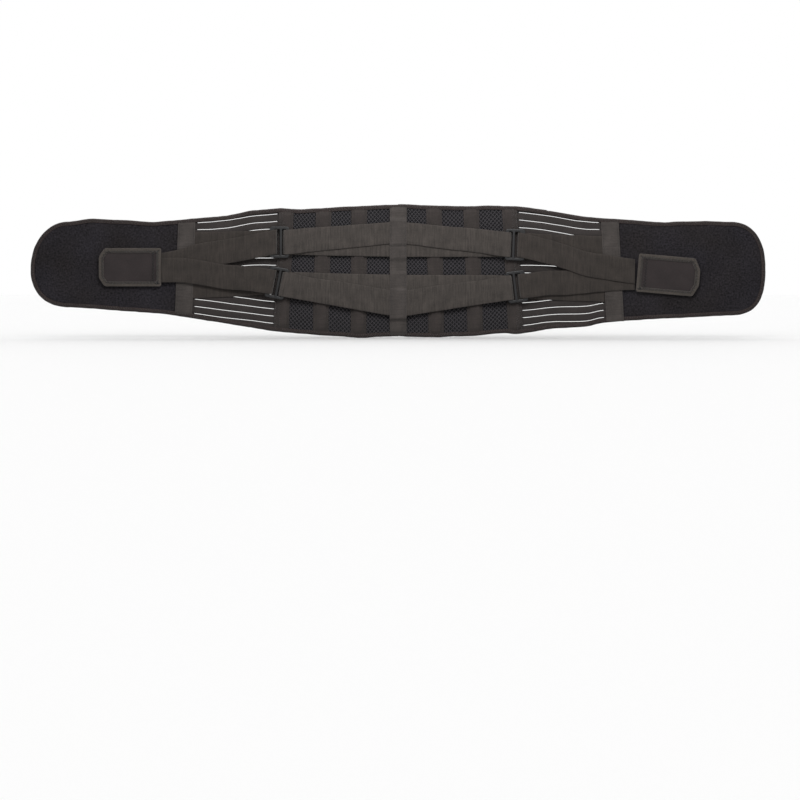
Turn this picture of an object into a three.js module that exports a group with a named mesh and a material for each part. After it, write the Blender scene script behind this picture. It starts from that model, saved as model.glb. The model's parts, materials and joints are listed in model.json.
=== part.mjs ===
// Lumbar support belt, opened out flat in the XZ plane.
// Millimetres. +Z runs up the wearer's spine and +X along the belt. -Y is the outer face, and +Y the face
// against the wearer. The origin is the middle of the back panel's inner face.
import * as THREE from "three";

// ---- Lengths along the belt, from its middle ----
const SIDE_FOLD = 147; // the back folds here, between its last two stays
const ELASTIC_START = 183;
const FLAP_FOLD = 311; // the elastic side panel is sewn to the flap here
const SEAM_STRIP_END = 338; // at the top edge
const SEAM_STRIP_LEAN = { left: 5.4, right: 8.8 }; // how much further out the strip is at the bottom edge
const STRAP_END = 363; // the pull straps run into the tabs
const FOLD_GAP = 0.3; // half of the gap left in the stiff layers at each fold line

// ---- Outline: top and bottom edges as [x, z], and the rounded flap tips ----
const TOP_EDGE = [
  [-505, 75.5], [-465, 80.4], [-362, 76], [-311, 80.8], [-262, 85.3], [-228, 92], [-196, 95.3], [-174, 96.8],
  [-155, 95.6], [-120, 96.2], [0, 101.8], [120, 100], [180, 99.9], [222, 95], [285, 84.3], [340, 80.6],
  [414, 75.3], [488, 77], [508, 76],
];
const BOTTOM_EDGE = [
  [-505, -56.6], [-436, -61.2], [-362, -66.8], [-311, -74.6], [-245, -85.2], [-183, -94.7], [-103, -100.4],
  [-48, -103.7], [0, -102.4], [100, -102.4], [160, -97.3], [195, -97.3], [240, -90.4], [290, -87.4], [311, -82.3],
  [377, -76.5], [451, -73.1], [508, -70.6],
];
const TIPS = { // exponent of each tip's superellipse, and how far the tip sags below its middle line
  left: { length: 60.5, roundness: 2.2, droop: 6 },
  right: { length: 57.5, roundness: 2.5, droop: 3 },
};
const EDGE_STEP = 16; // spacing of the points along the long edges

// ---- Layers through the belt: y of the inner side, and the thickness towards the outer face ----
const LAYER = {
  liner: { inner: 0, thick: 1.8 },
  mesh: { inner: -2.1, thick: 2 },
  elastic: { inner: -1.2, thick: 2 },
  stay: { inner: -4.4, thick: 1.2 },
  outerStrip: { inner: -4.4, thick: 1.2 },
  innerStrip: { inner: 1.3, thick: 1 },
  hookPanel: { inner: 1.9, thick: 1.6 },
  label: { inner: 0.7, thick: 0.4 },
  tabHook: { inner: -4.5, thick: 1.4 },
  tabCover: { inner: -6.2, thick: 4.6 },
  padHook: { inner: 1.8, thick: 1.5 },
  padBinding: { inner: 7, thick: 4.9 },
  padCushion: { inner: 14, thick: 11.9 },
};

// ---- Edge binding: a tape folded round the edge of the layers ----
const BINDING = { outer: -5.2, inner: 1.1, lip: 6, web: 1, tape: 0.8 };
const PANEL_INSET = 1.3; // panels stop inside the binding's fold
const STRIP_INSET = 6.4; // strips stop at the binding's lips

// ---- Stays in their pockets: x at mid height, and the lean that spreads them towards the bottom ----
const POCKETS = {
  outer_left: { x: -117, lean: 0.025 },
  left: { x: -60.5, lean: 0.007 },
  centre: { x: 0, lean: 0 },
  right: { x: 57, lean: -0.02 },
  outer_right: { x: 115.5, lean: -0.035 },
};
const EDGE_POCKETS = { left: { x: -176, lean: 0.045 }, right: { x: 176, lean: -0.048 } };
const POCKET = { base: -4.4, tape: 1, crown: -7, lip: 4, slope: 1, width: 24 };
const CENTRE_POCKET = { crown: -12.6, width: 26 };
const EDGE_POCKET = { width: 23, toSlots: 2 };
const STAY_WIDTH = 9.4;
const STAY_INSET = 14;

// ---- Elastic side panel: ribs between open slots ----
// At the edge strip the slots are spread evenly. At the flap the outer ones keep their pitch, so that the ribs
// between them, in the middle, are gathered.
const SLOTS = { count: 16, width: 1.8, end: 306, steps: 6, kept: 5 };
const SLOTS_AT_STRIP = { top: 9.4, bottom: 12.5 };
const SLOTS_AT_FLAP = { top: 7.5, bottom: 8.5, pitch: 11 };

// ---- Pulley rings and the straps that fold round their bars ----
// The middle bar sits nearer the inner strap: shift is towards the middle of the belt.
const RING = { y: -10.9, thick: 3.4, width: 30, height: 48.4, slotHeight: 40.4, corner: 4, barClear: 9 };
const RING_BAR = { width: 6, shift: 2.2 };
const RING_SLOT = { inner: 4.4, pull: 6.4 };
const STRAP = { thick: 1.6, width: 38, fold: 2.8, tiltFade: 40 };
const CENTRE_END = 13.4; // inner straps start beside the centre pocket
const INNER_TOP_Y = -10.2; // the inner straps' upper layer at the middle of the back
const RETURN_Y = RING.y + STRAP.fold;
const SEAM_RETURN_Y = -5.2; // the pull straps' lower layer, where it is sewn to the seam
const UNDER_Y = -7.4; // the two pull straps of a side cross: one runs under
const OVER_Y = -9.6; // and one over
const LEVEL_AT = 62; // distance from the ring at which a pull strap has come down to its level
const RING_CLEAR = 17; // distance from the ring at which it starts to come down

// Each ring has its place and tilt, then the inner strap that pulls it back (z and width at the middle of the
// back, z of its lower layer), then the pull strap: its centre line out to the tab, and z of its lower layer.
const RINGS = {
  left_upper: {
    side: -1, x: -182.4, z: 43.5, tilt: 0.5, centreZ: 58.6, centreWidth: 33, centreReturnZ: 40, over: false,
    route: [[-220, 37.5], [-266, 29], [-311, 21.5], [-336, 13.8], [-STRAP_END, 8]], seamReturnZ: 40,
  },
  left_lower: {
    side: -1, x: -186.4, z: -19, tilt: 11, centreZ: -51.3, centreWidth: 39.5, centreReturnZ: -25.5, over: true,
    route: [[-220, -13.6], [-266, -9.5], [-311, -2], [-336, 0.8], [-STRAP_END, 0.7]], seamReturnZ: -24,
  },
  right_upper: {
    side: 1, x: 179.4, z: 39.5, tilt: 2, centreZ: 58.6, centreWidth: 33, centreReturnZ: 40, over: true,
    route: [[226, 30], [254, 21.9], [288, 10.5], [320, 5], [STRAP_END, -1.7]], seamReturnZ: 34,
  },
  right_lower: {
    side: 1, x: 181.8, z: -25, tilt: -7, centreZ: -51.3, centreWidth: 39.5, centreReturnZ: -25.5, over: false,
    route: [[228, -19.5], [254, -19], [288, -16.2], [320, -13], [STRAP_END, -10.7]], seamReturnZ: -29.5,
  },
};

// ---- Pull tabs, hook panel, label and lumbar pad ----
const TAB = { length: 96, height: 59, chamfer: 14, corner: 3, hookInset: 5 };
const TABS = { left: { x: -412, z: 5, tilt: 0 }, right: { x: 416, z: -7.5, tilt: 5 } };
const HOOK_PANEL_START = 476;
const LABEL = { x: 467, z: 3, width: 12, height: 15 };
const PAD_HALF = [[24, 71.5], [42, 77], [61, 80.2], [78, 74], [86, 57.5], [83, 40], [66, 13.5], [51, -6.5],
  [41, -32], [32, -52], [18, -69]];
const PAD_TOP = 69.5;
const PAD_BOTTOM = -75.3;
const PAD_BINDING_WIDTH = 6;
const PAD_HOOK = { width: 80, height: 46, z: 30 };

const cloth = (color, roughness = 0.95) => new THREE.MeshStandardMaterial({ color, roughness, metalness: 0 });
const MATERIAL = {
  webbing: cloth(0x4a4642),
  elastic: cloth(0x3e3b39),
  mesh: cloth(0x2c2e33),
  liner: cloth(0x282927),
  loop: cloth(0x242427),
  hook: cloth(0x161616, 0.6),
  binding: cloth(0x3b3735),
  pad: cloth(0x3e3935),
  label: cloth(0xd8d4cc),
  plastic: new THREE.MeshStandardMaterial({ color: 0x18181a, roughness: 0.35, metalness: 0 }),
  steel: new THREE.MeshStandardMaterial({ color: 0xb8babd, roughness: 0.3, metalness: 1 }),
};

// ---- Curves and outlines ----
const vector = (x, z) => new THREE.Vector2(x, z);

// A smooth height z(x) through points, each span a cubic with the slopes of its neighbours.
function heightThrough(points) {
  const slope = (i) => {
    const [a, b] = [points[Math.max(i - 1, 0)], points[Math.min(i + 1, points.length - 1)]];
    return (b[1] - a[1]) / (b[0] - a[0]);
  };
  return (x) => {
    let i = 0;
    while (i < points.length - 2 && x > points[i + 1][0]) i++;
    const [[x0, z0], [x1, z1]] = [points[i], points[i + 1]];
    const span = x1 - x0;
    const t = THREE.MathUtils.clamp((x - x0) / span, 0, 1);
    const rise = (t * t * (3 - 2 * t)) * (z1 - z0);
    const bend = t * (1 - t) * ((1 - t) * slope(i) - t * slope(i + 1)) * span;
    return z0 + rise + bend;
  };
}
const topZ = heightThrough(TOP_EDGE);
const bottomZ = heightThrough(BOTTOM_EDGE);

function spaced(from, to) {
  const count = Math.max(1, Math.round(Math.abs(to - from) / EDGE_STEP));
  return Array.from({ length: count + 1 }, (_, i) => from + ((to - from) * i) / count);
}

// The part of the belt between two lines across it, inset from its edges. Its bottom is shifted along the belt.
function bandOutline(from, to, inset, shift = 0) {
  const xs = spaced(from, to);
  const top = xs.map((x) => vector(x, topZ(x) - inset));
  const bottom = xs.reverse().map((x) => vector(x + shift, bottomZ(x + shift) + inset));
  return [...top, ...bottom];
}

// A flap's edge from a line across it, out along the top, round the tip and back along the bottom.
function flapEdge(side, from, inset) {
  const tipStart = side < 0 ? TOP_EDGE[0][0] : TOP_EDGE.at(-1)[0];
  const { length: fullLength, roundness, droop } = side < 0 ? TIPS.left : TIPS.right;
  const length = fullLength - inset;
  const middle = (topZ(tipStart) + bottomZ(tipStart)) / 2;
  const half = (topZ(tipStart) - bottomZ(tipStart)) / 2 - inset;
  const tip = [];
  const steps = 18;
  for (let i = 1; i < steps; i++) {
    const angle = Math.PI * (0.5 - i / steps);
    const round = (value) => Math.sign(value) * Math.abs(value) ** (2 / roundness);
    const out = round(Math.cos(angle));
    tip.push(vector(tipStart + side * length * out, middle - droop * out ** 2 + half * round(Math.sin(angle))));
  }
  const along = spaced(from, tipStart);
  const top = along.map((x) => vector(x, topZ(x) - inset));
  const bottom = along.reverse().map((x) => vector(x, bottomZ(x) + inset));
  return [...top, ...tip, ...bottom];
}

function roundedRectangle(width, height, radius) {
  const [x, z] = [width / 2 - radius, height / 2 - radius];
  const shape = new THREE.Shape();
  shape.absarc(x, z, radius, 0, Math.PI / 2);
  shape.absarc(-x, z, radius, Math.PI / 2, Math.PI);
  shape.absarc(-x, -z, radius, Math.PI, 1.5 * Math.PI);
  shape.absarc(x, -z, radius, 1.5 * Math.PI, 2 * Math.PI);
  return shape.getPoints(3);
}

// ---- Solids ----
function namedMesh(name, geometry, material) {
  const mesh = new THREE.Mesh(geometry, material);
  mesh.name = name;
  return mesh;
}

// A flat piece: an outline in x and z, from its inner side out towards -Y.
function plate(name, outline, layer, material, holes = []) {
  const shape = new THREE.Shape(THREE.ShapeUtils.isClockWise(outline) ? outline.reverse() : outline);
  holes.forEach((hole) => shape.holes.push(new THREE.Path(hole)));
  const geometry = new THREE.ExtrudeGeometry(shape, { depth: layer.thick, bevelEnabled: false });
  geometry.rotateX(Math.PI / 2);
  const mesh = namedMesh(name, geometry, material);
  mesh.position.y = layer.inner;
  return mesh;
}

// A section in x and y, drawn up the belt from one height to another.
function upright(name, section, low, high, material) {
  const geometry = new THREE.ExtrudeGeometry(new THREE.Shape(section), { depth: high - low, bevelEnabled: false });
  geometry.translate(0, 0, low);
  return namedMesh(name, geometry, material);
}

// An upright piece leant over: x moves with the height.
function leant(mesh, lean) {
  mesh.geometry.applyMatrix4(new THREE.Matrix4().makeShear(0, 0, 0, 0, lean, 0));
  return mesh;
}

// A closed skin: a section carried along stations, each with its place and the section's two directions.
function sweep(name, section, stations, material) {
  const count = section.length;
  const points = stations.flatMap(({ at, across, up }) =>
    section.map((s) => at.clone().addScaledVector(across, s.x).addScaledVector(up, s.y)));
  const faces = [];
  for (let ring = 0; ring + 1 < stations.length; ring++) {
    for (let i = 0; i < count; i++) {
      const [a, b] = [ring * count + i, ring * count + ((i + 1) % count)];
      faces.push([a, b, b + count], [a, b + count, a + count]);
    }
  }
  const last = (stations.length - 1) * count;
  for (const [a, b, c] of THREE.ShapeUtils.triangulateShape(section, [])) {
    faces.push([c, b, a], [last + a, last + b, last + c]);
  }
  const volume = faces.reduce((sum, [a, b, c]) => sum + points[a].dot(points[b].clone().cross(points[c])), 0);
  const outward = volume > 0 ? faces : faces.map(([a, b, c]) => [c, b, a]);
  const geometry = new THREE.BufferGeometry().setFromPoints(points);
  geometry.setIndex(outward.flat());
  geometry.computeVertexNormals();
  return namedMesh(name, geometry, material);
}

// ---- Edge binding ----
function binding(name, edge) {
  const { outer, inner, lip, web, tape } = BINDING;
  const section = [[0, outer], [lip, outer], [lip, outer + tape], [web, outer + tape],
    [web, inner - tape], [lip, inner - tape], [lip, inner], [0, inner]].map(([depth, y]) => vector(depth, y));
  const stations = edge.map((point, i) => {
    const along = edge[Math.min(i + 1, edge.length - 1)].clone().sub(edge[Math.max(i - 1, 0)]).normalize();
    return {
      at: new THREE.Vector3(point.x, 0, point.y),
      across: new THREE.Vector3(along.y, 0, -along.x),
      up: new THREE.Vector3(0, 1, 0),
    };
  });
  return sweep(name, section, stations, MATERIAL.binding);
}
const topBinding = (name, from, to) => binding(name, spaced(from, to).map((x) => vector(x, topZ(x))));
const bottomBinding = (name, from, to) => binding(name, spaced(to, from).map((x) => vector(x, bottomZ(x))));

// ---- Back panel ----
// The strip that forms a stay's pocket: two sewn lips and a raised crown.
function pocket(name, { x, lean }, width, crown) {
  const { base, tape, lip, slope } = POCKET;
  const half = width / 2;
  const right = [[half - lip - slope - tape, crown + tape], [half - lip - tape, base], [half, base],
    [half, base - tape], [half - lip, base - tape], [half - lip - slope, crown]];
  const mirrored = ([px, py]) => [-px, py];
  const section = [...right, ...right.map(mirrored).reverse()].map(([px, py]) => vector(x + px, py));
  const [topX, bottomX] = [x + lean * topZ(x), x + lean * bottomZ(x)];
  const top = Math.min(topZ(topX - half), topZ(topX + half)) - STRIP_INSET;
  const bottom = Math.max(bottomZ(bottomX - half), bottomZ(bottomX + half)) + STRIP_INSET;
  return leant(upright(name, section, bottom, top, MATERIAL.webbing), lean);
}

function stay(name, { x, lean }) {
  const [top, bottom] = [topZ(x) - STAY_INSET, bottomZ(x) + STAY_INSET];
  const outline = roundedRectangle(STAY_WIDTH, top - bottom, STAY_WIDTH / 2 - 1)
    .map((p) => vector(p.x + x, p.y + (top + bottom) / 2));
  return leant(plate(name, outline, LAYER.stay, MATERIAL.steel), lean);
}

function backPanel() {
  const edge = SIDE_FOLD - FOLD_GAP;
  const group = new THREE.Group();
  group.add(
    plate("back_liner", bandOutline(-edge, edge, PANEL_INSET), LAYER.liner, MATERIAL.liner),
    plate("back_spacer_mesh", bandOutline(-edge, edge, PANEL_INSET), LAYER.mesh, MATERIAL.mesh),
    topBinding("back_top_binding", -edge, edge),
    bottomBinding("back_bottom_binding", -edge, edge),
  );
  for (const [name, place] of Object.entries(POCKETS)) {
    const { crown, width } = name === "centre" ? CENTRE_POCKET : POCKET;
    group.add(pocket(`${name}_stay_pocket`, place, width, crown), stay(`${name}_stay`, place));
  }
  return group;
}

// ---- Side panels: the last stay of the back, and the slotted elastic ----
// Shares of the belt's height, from the top, at which slot i starts and ends.
function slotShares(i, startX, endX) {
  const { count, kept } = SLOTS;
  const last = count - 1;
  const heightAt = (x) => topZ(x) - bottomZ(x);
  const { top, bottom, pitch } = SLOTS_AT_FLAP;
  const [above, below] = [top + pitch * kept, heightAt(endX) - bottom - pitch * kept];
  let down = THREE.MathUtils.lerp(above, below, (i - kept) / (last - 2 * kept));
  if (i < kept) down = top + pitch * i;
  if (i > last - kept) down = heightAt(endX) - bottom - pitch * (last - i);
  const atStrip = THREE.MathUtils.lerp(SLOTS_AT_STRIP.top, heightAt(startX) - SLOTS_AT_STRIP.bottom, i / last);
  return [atStrip / heightAt(startX), down / heightAt(endX)];
}

function slotOutline(name, side, i) {
  const { end, width, steps } = SLOTS;
  const { x: stripX, lean } = EDGE_POCKETS[name];
  const [from, to] = slotShares(i, stripX, side * end);
  const stripEnd = Math.abs(stripX) + EDGE_POCKET.width / 2 + EDGE_POCKET.toSlots;
  const start = stripEnd + side * lean * THREE.MathUtils.lerp(topZ(stripX), bottomZ(stripX), from);
  const points = Array.from({ length: steps + 1 }, (_, k) => {
    const x = side * THREE.MathUtils.lerp(start, end, k / steps);
    const share = THREE.MathUtils.lerp(from, to, THREE.MathUtils.smoothstep(k / steps, 0, 1));
    return vector(x, THREE.MathUtils.lerp(topZ(x), bottomZ(x), share));
  });
  const line = (offset) => points.map((p) => vector(p.x, p.y + offset));
  return [...line(width / 2), ...line(-width / 2).reverse()];
}

function sidePanel(name, side) {
  const group = new THREE.Group();
  const [fold, seam] = [side * (SIDE_FOLD + FOLD_GAP), side * (FLAP_FOLD - FOLD_GAP)];
  const [elasticStart, panelEnd] = [side * ELASTIC_START, side * (ELASTIC_START - FOLD_GAP)];
  const slots = Array.from({ length: SLOTS.count }, (_, i) => slotOutline(name, side, i));
  const [low, high] = [Math.min(fold, seam), Math.max(fold, seam)];
  group.add(
    plate(`${name}_edge_liner`, bandOutline(fold, panelEnd, PANEL_INSET), LAYER.liner, MATERIAL.liner),
    plate(`${name}_edge_spacer_mesh`, bandOutline(fold, panelEnd, PANEL_INSET), LAYER.mesh, MATERIAL.mesh),
    pocket(`${name}_edge_stay_pocket`, EDGE_POCKETS[name], EDGE_POCKET.width, POCKET.crown),
    stay(`${name}_edge_stay`, EDGE_POCKETS[name]),
    plate(`${name}_elastic_panel`, bandOutline(elasticStart, seam, PANEL_INSET), LAYER.elastic, MATERIAL.elastic,
      slots),
    topBinding(`${name}_side_top_binding`, low, high),
    bottomBinding(`${name}_side_bottom_binding`, low, high),
  );
  return group;
}

// ---- Flaps ----
function flap(name, side) {
  const from = side * (FLAP_FOLD + FOLD_GAP);
  const strip = () => bandOutline(from, side * SEAM_STRIP_END, STRIP_INSET, side * SEAM_STRIP_LEAN[name]);
  const edge = flapEdge(side, from, 0);
  const group = new THREE.Group();
  group.add(
    plate(`${name}_flap_liner`, flapEdge(side, from, PANEL_INSET), LAYER.liner, MATERIAL.liner),
    plate(`${name}_flap_loop_panel`, flapEdge(side, from, PANEL_INSET), LAYER.mesh, MATERIAL.loop),
    plate(`${name}_outer_seam_strip`, strip(), LAYER.outerStrip, MATERIAL.webbing),
    plate(`${name}_inner_seam_strip`, strip(), LAYER.innerStrip, MATERIAL.webbing),
    binding(`${name}_flap_binding`, side > 0 ? edge : edge.reverse()),
  );
  return group;
}

function hookEnd() {
  const { x, z, width, height } = LABEL;
  const label = roundedRectangle(width, height, 1).map((p) => vector(p.x + x, p.y + z));
  const group = new THREE.Group();
  group.add(
    plate("hook_panel", flapEdge(1, HOOK_PANEL_START, STRIP_INSET), LAYER.hookPanel, MATERIAL.hook),
    plate("size_label", label, LAYER.label, MATERIAL.label),
  );
  return group;
}

// ---- Rings ----
// A flat ring with a slot on each side of its middle bar.
function ring(name, { side, x, z, tilt }) {
  const { width, height, slotHeight, corner } = RING;
  const slots = Object.entries(RING_SLOT).map(([which, slot]) => {
    const fromBar = (RING_BAR.width + slot) / 2;
    const middle = side * (which === "pull" ? fromBar - RING_BAR.shift : -fromBar - RING_BAR.shift);
    return roundedRectangle(slot, slotHeight, 1).map((p) => vector(p.x + middle, p.y));
  });
  const layer = { inner: RING.y + RING.thick / 2, thick: RING.thick };
  const mesh = plate(`${name}_ring`, roundedRectangle(width, height, corner), layer, MATERIAL.plastic, slots);
  const place = new THREE.Group();
  place.add(mesh);
  place.position.set(x, 0, z);
  place.rotation.y = THREE.MathUtils.degToRad(tilt);
  return place;
}

// ---- Straps ----
// A strap lies along `top` from its far end to the ring, folds round the bar and runs back along `back`.
// Each entry is [x, y, z, width]. `away` is the way from the ring's bar to the strap's far end.
function foldedStrap(name, { side, x, z, tilt }, away, top, back) {
  const lean = THREE.MathUtils.degToRad(tilt);
  const toSlotEnd = RING_BAR.width / 2 + (away === side ? RING_SLOT.pull : RING_SLOT.inner);
  const reach = away * toSlotEnd - side * RING_BAR.shift;
  const [barX, barZ] = [x + reach * Math.cos(lean), z - reach * Math.sin(lean)];
  const arc = [];
  const steps = 6;
  for (let i = 0; i <= steps; i++) {
    const angle = (Math.PI * i) / steps;
    arc.push([barX - away * STRAP.fold * Math.sin(angle), RING.y - STRAP.fold * Math.cos(angle), barZ, STRAP.width]);
  }
  const clearOfBar = ([px, , pz, width], y) => {
    const share = RING.barClear / Math.abs(px - barX);
    const mix = THREE.MathUtils.lerp;
    return [barX + away * RING.barClear, y, mix(barZ, pz, share), mix(STRAP.width, width, share)];
  };
  const above = clearOfBar(top.at(-1), RING.y - STRAP.fold);
  const below = clearOfBar(back[0], RETURN_Y);
  const path = [...top, above, ...arc, below, ...back];
  const stations = path.map(([px, py, pz, width], i) => {
    const before = path[Math.max(i - 1, 0)];
    const after = path[Math.min(i + 1, path.length - 1)];
    const along = new THREE.Vector2(after[0] - before[0], after[1] - before[1]).normalize();
    const tilted = lean * THREE.MathUtils.clamp(1 - Math.abs(px - barX) / STRAP.tiltFade, 0, 1);
    return {
      at: new THREE.Vector3(px, py, pz),
      across: new THREE.Vector3(-along.y, along.x, 0).multiplyScalar(STRAP.thick),
      up: new THREE.Vector3(Math.sin(tilted), 0, Math.cos(tilted)).multiplyScalar(width),
    };
  });
  const section = [vector(-0.5, -0.5), vector(0.5, -0.5), vector(0.5, 0.5), vector(-0.5, 0.5)];
  return sweep(name, section, stations, MATERIAL.webbing);
}

function innerStrap(name, place) {
  const { side, x, z, centreZ, centreWidth, centreReturnZ } = place;
  const ringTop = RING.y - STRAP.fold;
  const between = (share, from, to) => THREE.MathUtils.lerp(from, to, share);
  const start = side * CENTRE_END;
  const top = [0, 0.3, 0.6, 0.85].map((share) => [
    between(share, start, x), between(share, INNER_TOP_Y, ringTop), between(share, centreZ, z),
    between(share, centreWidth, STRAP.width)]);
  const back = [0.85, 0.4, 0].map((share) => [
    between(share, start, x), RETURN_Y, between(share, centreReturnZ, z), STRAP.width]);
  return foldedStrap(`${name}_inner_strap`, place, -side, top, back);
}

function pullStrap(name, place) {
  const { side, x, z, over, route, seamReturnZ } = place;
  const level = over ? OVER_Y : UNDER_Y;
  const ringTop = RING.y - STRAP.fold;
  const settled = (px) => THREE.MathUtils.clamp(
    (Math.abs(px - x) - RING_CLEAR) / (LEVEL_AT - RING_CLEAR), 0, 1);
  const top = route.map(([px, pz]) => [
    px, THREE.MathUtils.lerp(ringTop, level, settled(px)), pz, STRAP.width]).reverse();
  const seam = side * (FLAP_FOLD - FOLD_GAP);
  const back = [0.3, 1].map((share) => [
    THREE.MathUtils.lerp(x, seam, share), SEAM_RETURN_Y, THREE.MathUtils.lerp(z, seamReturnZ, share), STRAP.width]);
  return foldedStrap(`${name}_pull_strap`, place, side, top, back);
}

// ---- Pull tabs ----
function pullTab(name, side) {
  const { x, z, tilt } = TABS[name];
  const outline = (inset) => {
    const [half, rise, cut] = [TAB.length / 2 - inset, TAB.height / 2 - inset, TAB.chamfer - inset / 2];
    return [[-half, -rise], [half - cut / 2, -rise], [half, -rise + cut], [half, rise - cut],
      [half - cut / 2, rise], [-half, rise]].map(([px, pz]) => vector(side * px, pz));
  };
  const place = new THREE.Group();
  place.add(
    plate(`${name}_pull_tab`, outline(0), LAYER.tabCover, MATERIAL.webbing),
    plate(`${name}_pull_tab_hook`, outline(TAB.hookInset), LAYER.tabHook, MATERIAL.hook),
  );
  place.position.set(x, 0, z);
  place.rotation.y = THREE.MathUtils.degToRad(tilt);
  return place;
}

// ---- Lumbar pad ----
function padOutline(inset) {
  const right = PAD_HALF.map(([x, z]) => new THREE.Vector3(x, z, 0));
  const left = PAD_HALF.map(([x, z]) => new THREE.Vector3(-x, z, 0)).reverse();
  const loop = [new THREE.Vector3(0, PAD_TOP, 0), ...right, new THREE.Vector3(0, PAD_BOTTOM, 0), ...left];
  const points = new THREE.CatmullRomCurve3(loop, true, "centripetal").getPoints(48).slice(0, -1);
  return points.map((point, i) => {
    const before = points[(i + points.length - 1) % points.length];
    const after = points[(i + 1) % points.length];
    const along = after.clone().sub(before).normalize();
    return vector(point.x + along.y * inset, point.y - along.x * inset);
  });
}

function lumbarPad() {
  const hook = roundedRectangle(PAD_HOOK.width, PAD_HOOK.height, 3).map((p) => vector(p.x, p.y + PAD_HOOK.z));
  const hole = padOutline(PAD_BINDING_WIDTH);
  const group = new THREE.Group();
  group.add(
    plate("lumbar_pad_cushion", padOutline(PAD_BINDING_WIDTH + FOLD_GAP), LAYER.padCushion, MATERIAL.pad),
    plate("lumbar_pad_binding", padOutline(0), LAYER.padBinding, MATERIAL.binding, [hole]),
    plate("lumbar_pad_hook", hook, LAYER.padHook, MATERIAL.hook),
  );
  return group;
}

// ---- Assembly ----
const belt = new THREE.Group();
belt.add(backPanel(), hookEnd(), lumbarPad());
for (const [name, side] of [["left", -1], ["right", 1]]) {
  belt.add(sidePanel(name, side), flap(name, side), pullTab(name, side));
}
for (const [name, place] of Object.entries(RINGS)) {
  belt.add(ring(name, place), innerStrap(name, place), pullStrap(name, place));
}

export default belt;
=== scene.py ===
# Lumbar support belt: the looks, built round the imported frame. Every length below is in metres, or in
# millimetres where it is multiplied by MM. -Y is the outer face, +Y the wearer's side, +X along the belt.
import json
import math

import bpy
import numpy as np
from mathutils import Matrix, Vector


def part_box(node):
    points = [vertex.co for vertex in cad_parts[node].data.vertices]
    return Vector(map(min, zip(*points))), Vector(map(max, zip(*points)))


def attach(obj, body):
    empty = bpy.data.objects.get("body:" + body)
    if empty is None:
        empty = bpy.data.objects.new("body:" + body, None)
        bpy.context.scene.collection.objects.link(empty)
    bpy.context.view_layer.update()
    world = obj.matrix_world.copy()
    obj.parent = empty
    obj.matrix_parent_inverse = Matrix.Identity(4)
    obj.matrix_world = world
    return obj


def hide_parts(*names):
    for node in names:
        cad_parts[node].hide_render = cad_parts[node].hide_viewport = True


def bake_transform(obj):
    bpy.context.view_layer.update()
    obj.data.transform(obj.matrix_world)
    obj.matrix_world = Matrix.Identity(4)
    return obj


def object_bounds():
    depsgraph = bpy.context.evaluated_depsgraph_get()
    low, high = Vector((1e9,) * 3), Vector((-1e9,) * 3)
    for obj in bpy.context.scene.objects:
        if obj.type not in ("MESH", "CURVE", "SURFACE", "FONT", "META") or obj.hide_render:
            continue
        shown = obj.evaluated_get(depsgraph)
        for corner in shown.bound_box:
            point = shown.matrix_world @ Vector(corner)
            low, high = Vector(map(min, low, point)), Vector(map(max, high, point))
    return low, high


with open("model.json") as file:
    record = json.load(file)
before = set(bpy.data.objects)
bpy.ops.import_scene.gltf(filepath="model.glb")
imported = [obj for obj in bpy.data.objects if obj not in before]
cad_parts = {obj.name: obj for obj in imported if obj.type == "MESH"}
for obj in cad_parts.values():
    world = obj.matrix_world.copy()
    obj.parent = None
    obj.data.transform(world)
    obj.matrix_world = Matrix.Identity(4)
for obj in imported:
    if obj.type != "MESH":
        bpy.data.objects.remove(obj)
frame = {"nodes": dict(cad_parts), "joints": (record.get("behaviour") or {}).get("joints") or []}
cad_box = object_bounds()

MM = 0.001
SIDES = {"left": -1, "right": 1}

# ---- Where the belt folds, and the width over which the cloth bends there ----
joint = {row["name"]: row for row in frame["joints"]}
SIDE_FOLD = abs(joint["right_side_fold"]["pos_m"][0])
FLAP_FOLD = abs(joint["right_flap_fold"]["pos_m"][0])
SIDE_BEND = 14 * MM
FLAP_BEND = 20 * MM
BINDING_SPLIT = 0.5 * (SIDE_FOLD + FLAP_FOLD)

# ---- Layers, as in the frame: y of each surface ----
LINER_IN, LINER_OUT = 0.0, -1.8 * MM
MESH_IN, MESH_OUT = -2.1 * MM, -4.1 * MM
ELASTIC_Y = -2.2 * MM
PANEL_INSET = 1.3 * MM
STRIP_INSET = 6.4 * MM


# ---- Numbers: smooth curves through a few points, seeded noise, and the belt's own outline ----
def curve(xs, ys):
    """A smooth function through points: cubic spans with the slopes of their neighbours."""
    xs, ys = np.asarray(xs, float), np.asarray(ys, float)
    slopes = np.gradient(ys, xs) if len(xs) > 2 else np.full(2, (ys[1] - ys[0]) / (xs[1] - xs[0]))

    def value(x):
        x = np.asarray(x, float)
        i = np.clip(np.searchsorted(xs, x) - 1, 0, len(xs) - 2)
        span = xs[i + 1] - xs[i]
        t = np.clip((x - xs[i]) / span, 0, 1)
        rise = t * t * (3 - 2 * t) * (ys[i + 1] - ys[i])
        bend = t * (1 - t) * ((1 - t) * slopes[i] - t * slopes[i + 1]) * span
        return ys[i] + rise + bend

    return value


def smooth(t):
    t = np.clip(t, 0, 1)
    return t * t * (3 - 2 * t)


def noise(x, z, size, seed=0):
    """Smooth value noise from -1 to 1, with features of about that size."""
    x, z = np.asarray(x, float) / size, np.asarray(z, float) / size
    i, j = np.floor(x), np.floor(z)
    u, v = smooth(x - i), smooth(z - j)

    def value(a, b):
        h = np.sin(a * 127.1 + b * 311.7 + seed * 74.7) * 43758.5453
        return (h - np.floor(h)) * 2 - 1

    low = value(i, j) * (1 - u) + value(i + 1, j) * u
    high = value(i, j + 1) * (1 - u) + value(i + 1, j + 1) * u
    return low * (1 - v) + high * v


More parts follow.
